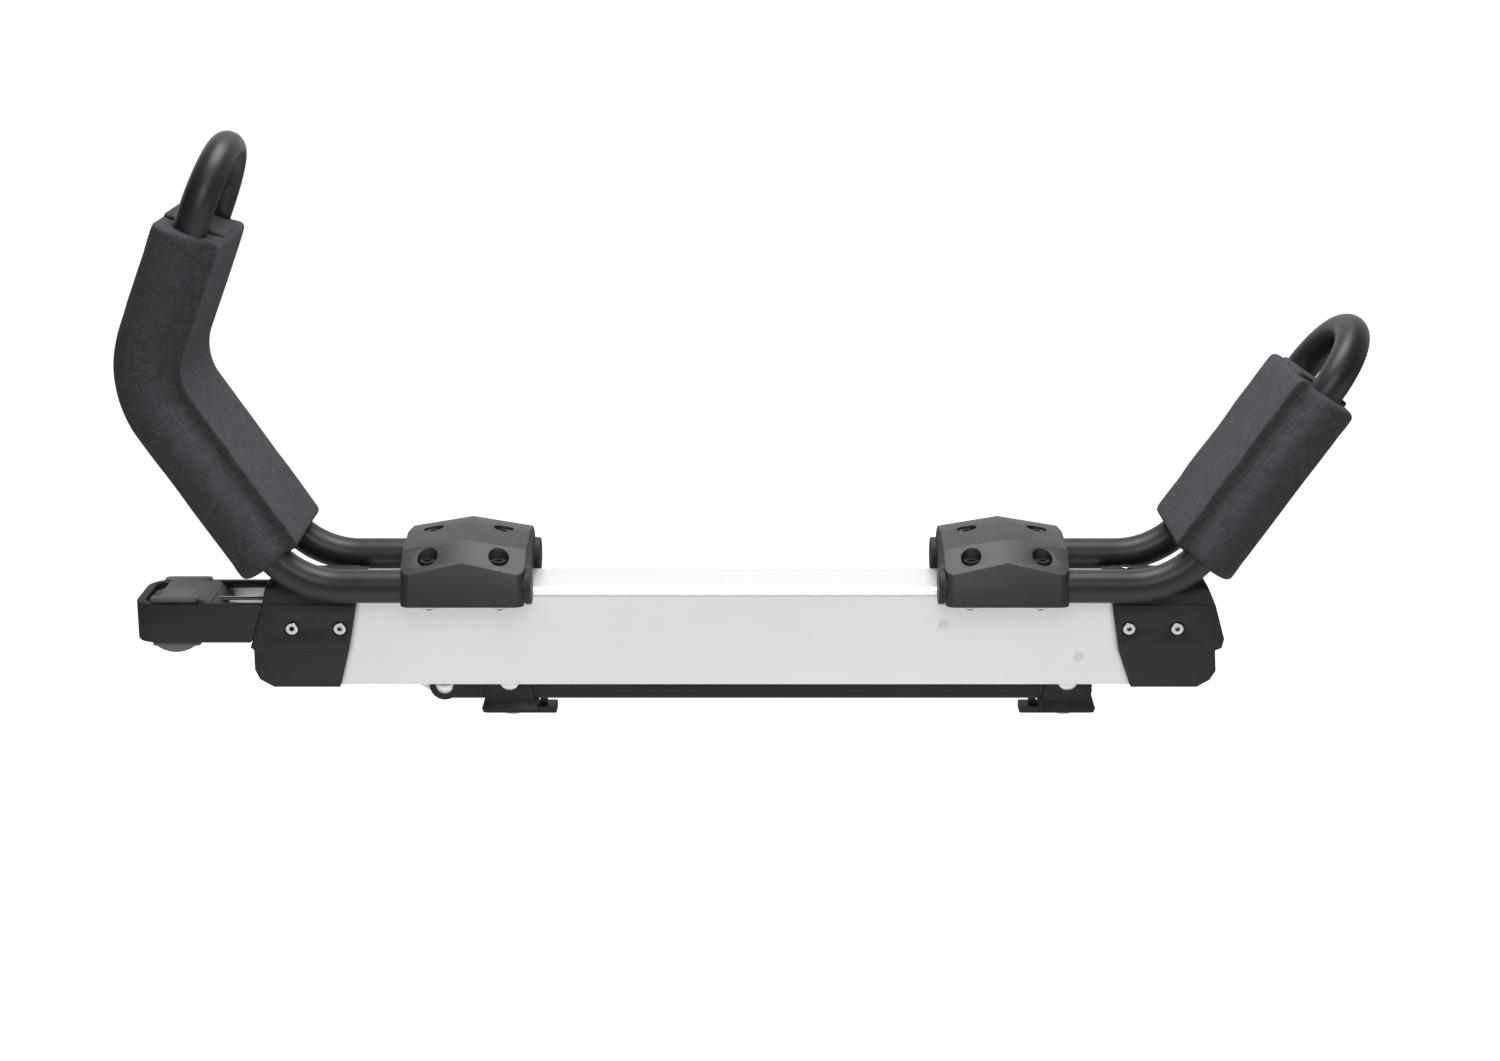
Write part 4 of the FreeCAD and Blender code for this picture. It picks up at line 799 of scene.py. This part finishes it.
class CARRIER_OT_finishes(bpy.types.Operator):
    """Makes every finish and puts it on the carried-over pieces"""
    bl_idname = "carrier.finishes"
    bl_label = "Finishes"

    def execute(self, context):
        colours = context.scene.carrier_colours
        groups = {"grain": grain_group(), "wear": wear_group(), "weave": weave_group(),
                  "brushed": brushed_group(), "dust": dust_group(),
                  "crevice": crevice_shade_group()}
        grained("tube paint", groups, colours.tube, 0.42, 0.0009, 0.10, 0.10, dust=0.03,
                gloss=0.45)
        grained("moulded charcoal", groups, colours.moulded, 0.55, 0.0011, 0.45, 0.35,
                gloss=0.35)
        grained("clamp grey", groups, colours.clamp, 0.50, 0.0011, 0.35, 0.30,
                gloss=0.6)
        grained("trigger grey", groups, colours.trigger, 0.46, 0.0010, 0.25, 0.25,
                light=(0.34, 0.35, 0.36))
        grained("black steel", groups, colours.black_steel, 0.45, 0.0010, 0.15, 0.35,
                gloss=0.3)
        grained("sole rubber", groups, colours.rubber, 0.75, 0.0014, 0.50, 0.10)
        grained("roller nylon", groups, colours.nylon, 0.40, 0.0012, 0.15, 0.0,
                light=(0.7, 0.7, 0.68))
        metal("anodised silver", groups, colours.anodised, 0.40, 1500.0, metallic=0.65)
        metal("strip silver", groups, colours.anodised, 0.36, 1500.0, metallic=0.55)
        metal("bright steel", groups, colours.zinc, 0.24, 900.0)
        sleeve_cloth(groups, colours.cloth_dark, colours.cloth_light)
        finish_of = {"tube_paint": "tube paint", "moulded_black": "moulded charcoal",
                     "clamp_grey": "clamp grey", "trigger_grey": "trigger grey",
                     "rail_steel": "black steel", "rubber_black": "sole rubber",
                     "roller_nylon": "roller nylon", "beam_anodised": "anodised silver",
                     "strip_metal": "strip silver", "zinc_steel": "bright steel",
                     "pad_fabric": "sleeve cloth"}
        for name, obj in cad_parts.items():
            for slot in obj.material_slots:
                kind = next(k for k in finish_of if slot.material.name.startswith(k))
                slot.material = bpy.data.materials[finish_of[kind]]
        return {"FINISHED"}


class CARRIER_OT_sleeves(bpy.types.Operator):
    """Builds the two padded sleeves and the folded flaps that close their tops"""
    bl_idname = "carrier.sleeves"
    bl_label = "Padded sleeves"

    def execute(self, context):
        sizes = context.scene.carrier_padding
        cloth = bpy.data.materials["sleeve cloth"]
        make_sleeve("outboard_sleeve", "outboard_saddle_pad", OUTBOARD_LEG,
                    sizes.outboard_top, OUTBOARD_CREASES, cloth)
        make_sleeve("inboard_sleeve", "inboard_saddle_pad", INBOARD_LEG,
                    sizes.inboard_top, INBOARD_CREASES, cloth)
        make_flap("outboard_flap", OUTBOARD_LEG, sizes.outboard_top, cloth)
        make_flap("inboard_flap", INBOARD_LEG, sizes.inboard_top, cloth)
        return {"FINISHED"}


class CARRIER_OT_mouldings(bpy.types.Operator):
    """Rounds the edges of the moulded clamps, caps, grip, trigger and feet"""
    bl_idname = "carrier.mouldings"
    bl_label = "Mouldings"

    def execute(self, context):
        sizes = context.scene.carrier_rounding
        finish = bpy.data.materials
        for node in ("outboard_saddle_clamp", "inboard_saddle_clamp"):
            rounded_node(node, sizes.clamp, finish["clamp grey"], "beam", 3)
        for node in ("outboard_cap", "inboard_cap"):
            rounded_node(node, sizes.cap, finish["moulded charcoal"], "beam")
        rounded_node("handle_grip", sizes.grip, finish["moulded charcoal"],
                     "beam")
        rounded_node("trigger", sizes.trigger, finish["trigger grey"], "trigger")
        for node in ("outboard_foot", "inboard_foot"):
            rounded_node(node, sizes.foot, finish["moulded charcoal"], "base")
        return {"FINISHED"}


class CARRIER_OT_studio(bpy.types.Operator):
    """Lays the pale floor and sets the soft lights and the camera"""
    bl_idname = "carrier.studio"
    bl_label = "Studio"

    def execute(self, context):
        sizes = context.scene.carrier_studio
        scene = context.scene
        scene.view_settings.view_transform = "Standard"
        level = CAD_BOX[0].z - sizes.floor_drop
        bm = bmesh.new()
        bmesh.ops.create_grid(bm, x_segments=4, y_segments=4, size=sizes.floor_size / 2)
        bmesh.ops.translate(bm, verts=bm.verts, vec=(0.0, 0.0, level))
        material, tree, principled = new_material("studio floor")
        principled.inputs["Roughness"].default_value = 0.9
        principled.inputs["Specular IOR Level"].default_value = 0.0
        place = shader(tree, "TexCoord").outputs["Object"]
        cloud = shader(tree, "TexNoise", {"Vector": place, "Scale": 3.0}).outputs["Fac"]
        pale = tuple(0.99 * c for c in sizes.floor_colour)
        base = blend_colour(tree, cloud, pale, tuple(sizes.floor_colour))
        tree.links.new(base, principled.inputs["Base Color"])
        path = shader(tree, "LightPath").outputs
        away = shader(tree, "VectorMath", {0: place}, operation="LENGTH").outputs["Value"]
        white = spread(tree, away, 0.7, 2.2, sizes.floor_glow, 1.0)
        depth = shader(tree, "SeparateXYZ", {0: place}).outputs["Y"]
        # Painted reflection: for glossy rays the floor in front of the object glows up to 0.85, so
        # metal facing the camera reflects a bright floor. The camera's white is an even backdrop.
        floor_reflection_glow = spread(tree, depth, 0.1, -0.5, 0.0, 0.85)
        glow = maths(tree, "MULTIPLY_ADD", path["Is Camera Ray"], white,
                     maths(tree, "MULTIPLY", path["Is Glossy Ray"], floor_reflection_glow))
        principled.inputs["Emission Color"].default_value = (1.0, 1.0, 1.0, 1.0)
        tree.links.new(glow, principled.inputs["Emission Strength"])
        floor = new_object("studio_floor", bm, material)
        self.world(scene)
        self.lamp("top_light", (0.0, 0.05, 1.7), (0.0, 0.0, 0.15), 1.0, 0.9, sizes.top_power)
        self.lamp("front_light", (0.0, -1.50, 1.05), (0.0, 0.0, 0.20), 0.7, 0.6,
                  sizes.front_power)
        self.lamp("side_light", (2.1, 0.1, 0.9), (0.1, 0.0, 0.2), 0.5, 1.5, sizes.side_power)
        data = bpy.data.cameras.new("photo_camera")
        data.sensor_width = 36.0
        data.sensor_fit = "HORIZONTAL"
        data.lens = sizes.camera_lens
        data.clip_start = 0.05
        camera = bpy.data.objects.new("photo_camera", data)
        scene.collection.objects.link(camera)
        camera.location = sizes.camera_place
        camera.rotation_euler = (math.pi / 2 - sizes.camera_pitch, 0.0, 0.0)
        scene.camera = camera
        return {"FINISHED"}

    def world(self, scene):
        world = bpy.data.worlds.new("studio")
        scene.world = world
        world.use_nodes = True
        tree = world.node_tree
        path = shader(tree, "LightPath").outputs
        way = shader(tree, "SeparateXYZ", {0: shader(tree, "TexCoord").outputs["Generated"]})
        # Painted reflection: only glossy rays see a bright region behind the object, rising to 0.85
        # towards +Y. The world's diffuse light stays at 0.10.
        reflection_only_glow = spread(tree, way.outputs["Y"], 0.25, 0.75, 0.0, 0.85)
        strength = maths(tree, "MULTIPLY_ADD", path["Is Camera Ray"], 0.91,
                         maths(tree, "MULTIPLY_ADD", path["Is Glossy Ray"], reflection_only_glow, 0.10))
        tree.nodes["Background"].inputs["Color"].default_value = (1.0, 1.0, 1.0, 1.0)
        tree.links.new(strength, tree.nodes["Background"].inputs["Strength"])

    def lamp(self, name, place, target, width, height, power):
        data = bpy.data.lights.new(name, "AREA")
        data.shape = "RECTANGLE"
        data.size = width
        data.size_y = height
        data.energy = power
        lamp = bpy.data.objects.new(name, data)
        bpy.context.scene.collection.objects.link(lamp)
        lamp.location = place
        aim = Vector(target) - Vector(place)
        lamp.rotation_euler = aim.to_track_quat("-Z", "Y").to_euler()


class CARRIER_PT_panel(bpy.types.Panel):
    bl_idname = "CARRIER_PT_panel"
    bl_label = "Saddle carrier"
    bl_space_type = "VIEW_3D"
    bl_region_type = "UI"
    bl_category = "Carrier"

    def draw(self, context):
        layout = self.layout
        for name, label, operators in SECTIONS:
            box = layout.box()
            box.label(text=label)
            group = getattr(context.scene, name)
            for key in group.__annotations__:
                box.prop(group, key)
            for operator in operators:
                box.operator(operator)


SECTIONS = (
    ("carrier_colours", "Finishes", ("carrier.finishes",)),
    ("carrier_padding", "Sleeves", ("carrier.sleeves",)),
    ("carrier_rounding", "Mouldings", ("carrier.mouldings",)),
    ("carrier_studio", "Studio", ("carrier.studio",)),
)
GROUPS = {"carrier_colours": FinishColours, "carrier_padding": PaddingSizes,
          "carrier_rounding": RoundingSizes, "carrier_studio": StudioSizes}
CLASSES = (*GROUPS.values(), CARRIER_OT_finishes, CARRIER_OT_sleeves, CARRIER_OT_mouldings,
           CARRIER_OT_studio, CARRIER_PT_panel)


def register():
    for cls in CLASSES:
        bpy.utils.register_class(cls)
    for name, group in GROUPS.items():
        setattr(bpy.types.Scene, name, PointerProperty(type=group))


def unregister():
    for name in GROUPS:
        delattr(bpy.types.Scene, name)
    for cls in reversed(CLASSES):
        bpy.utils.unregister_class(cls)


def main():
    register()
    bpy.ops.carrier.finishes()
    bpy.ops.carrier.sleeves()
    bpy.ops.carrier.mouldings()
    bpy.ops.carrier.studio()


if __name__ == "__main__":
    main()
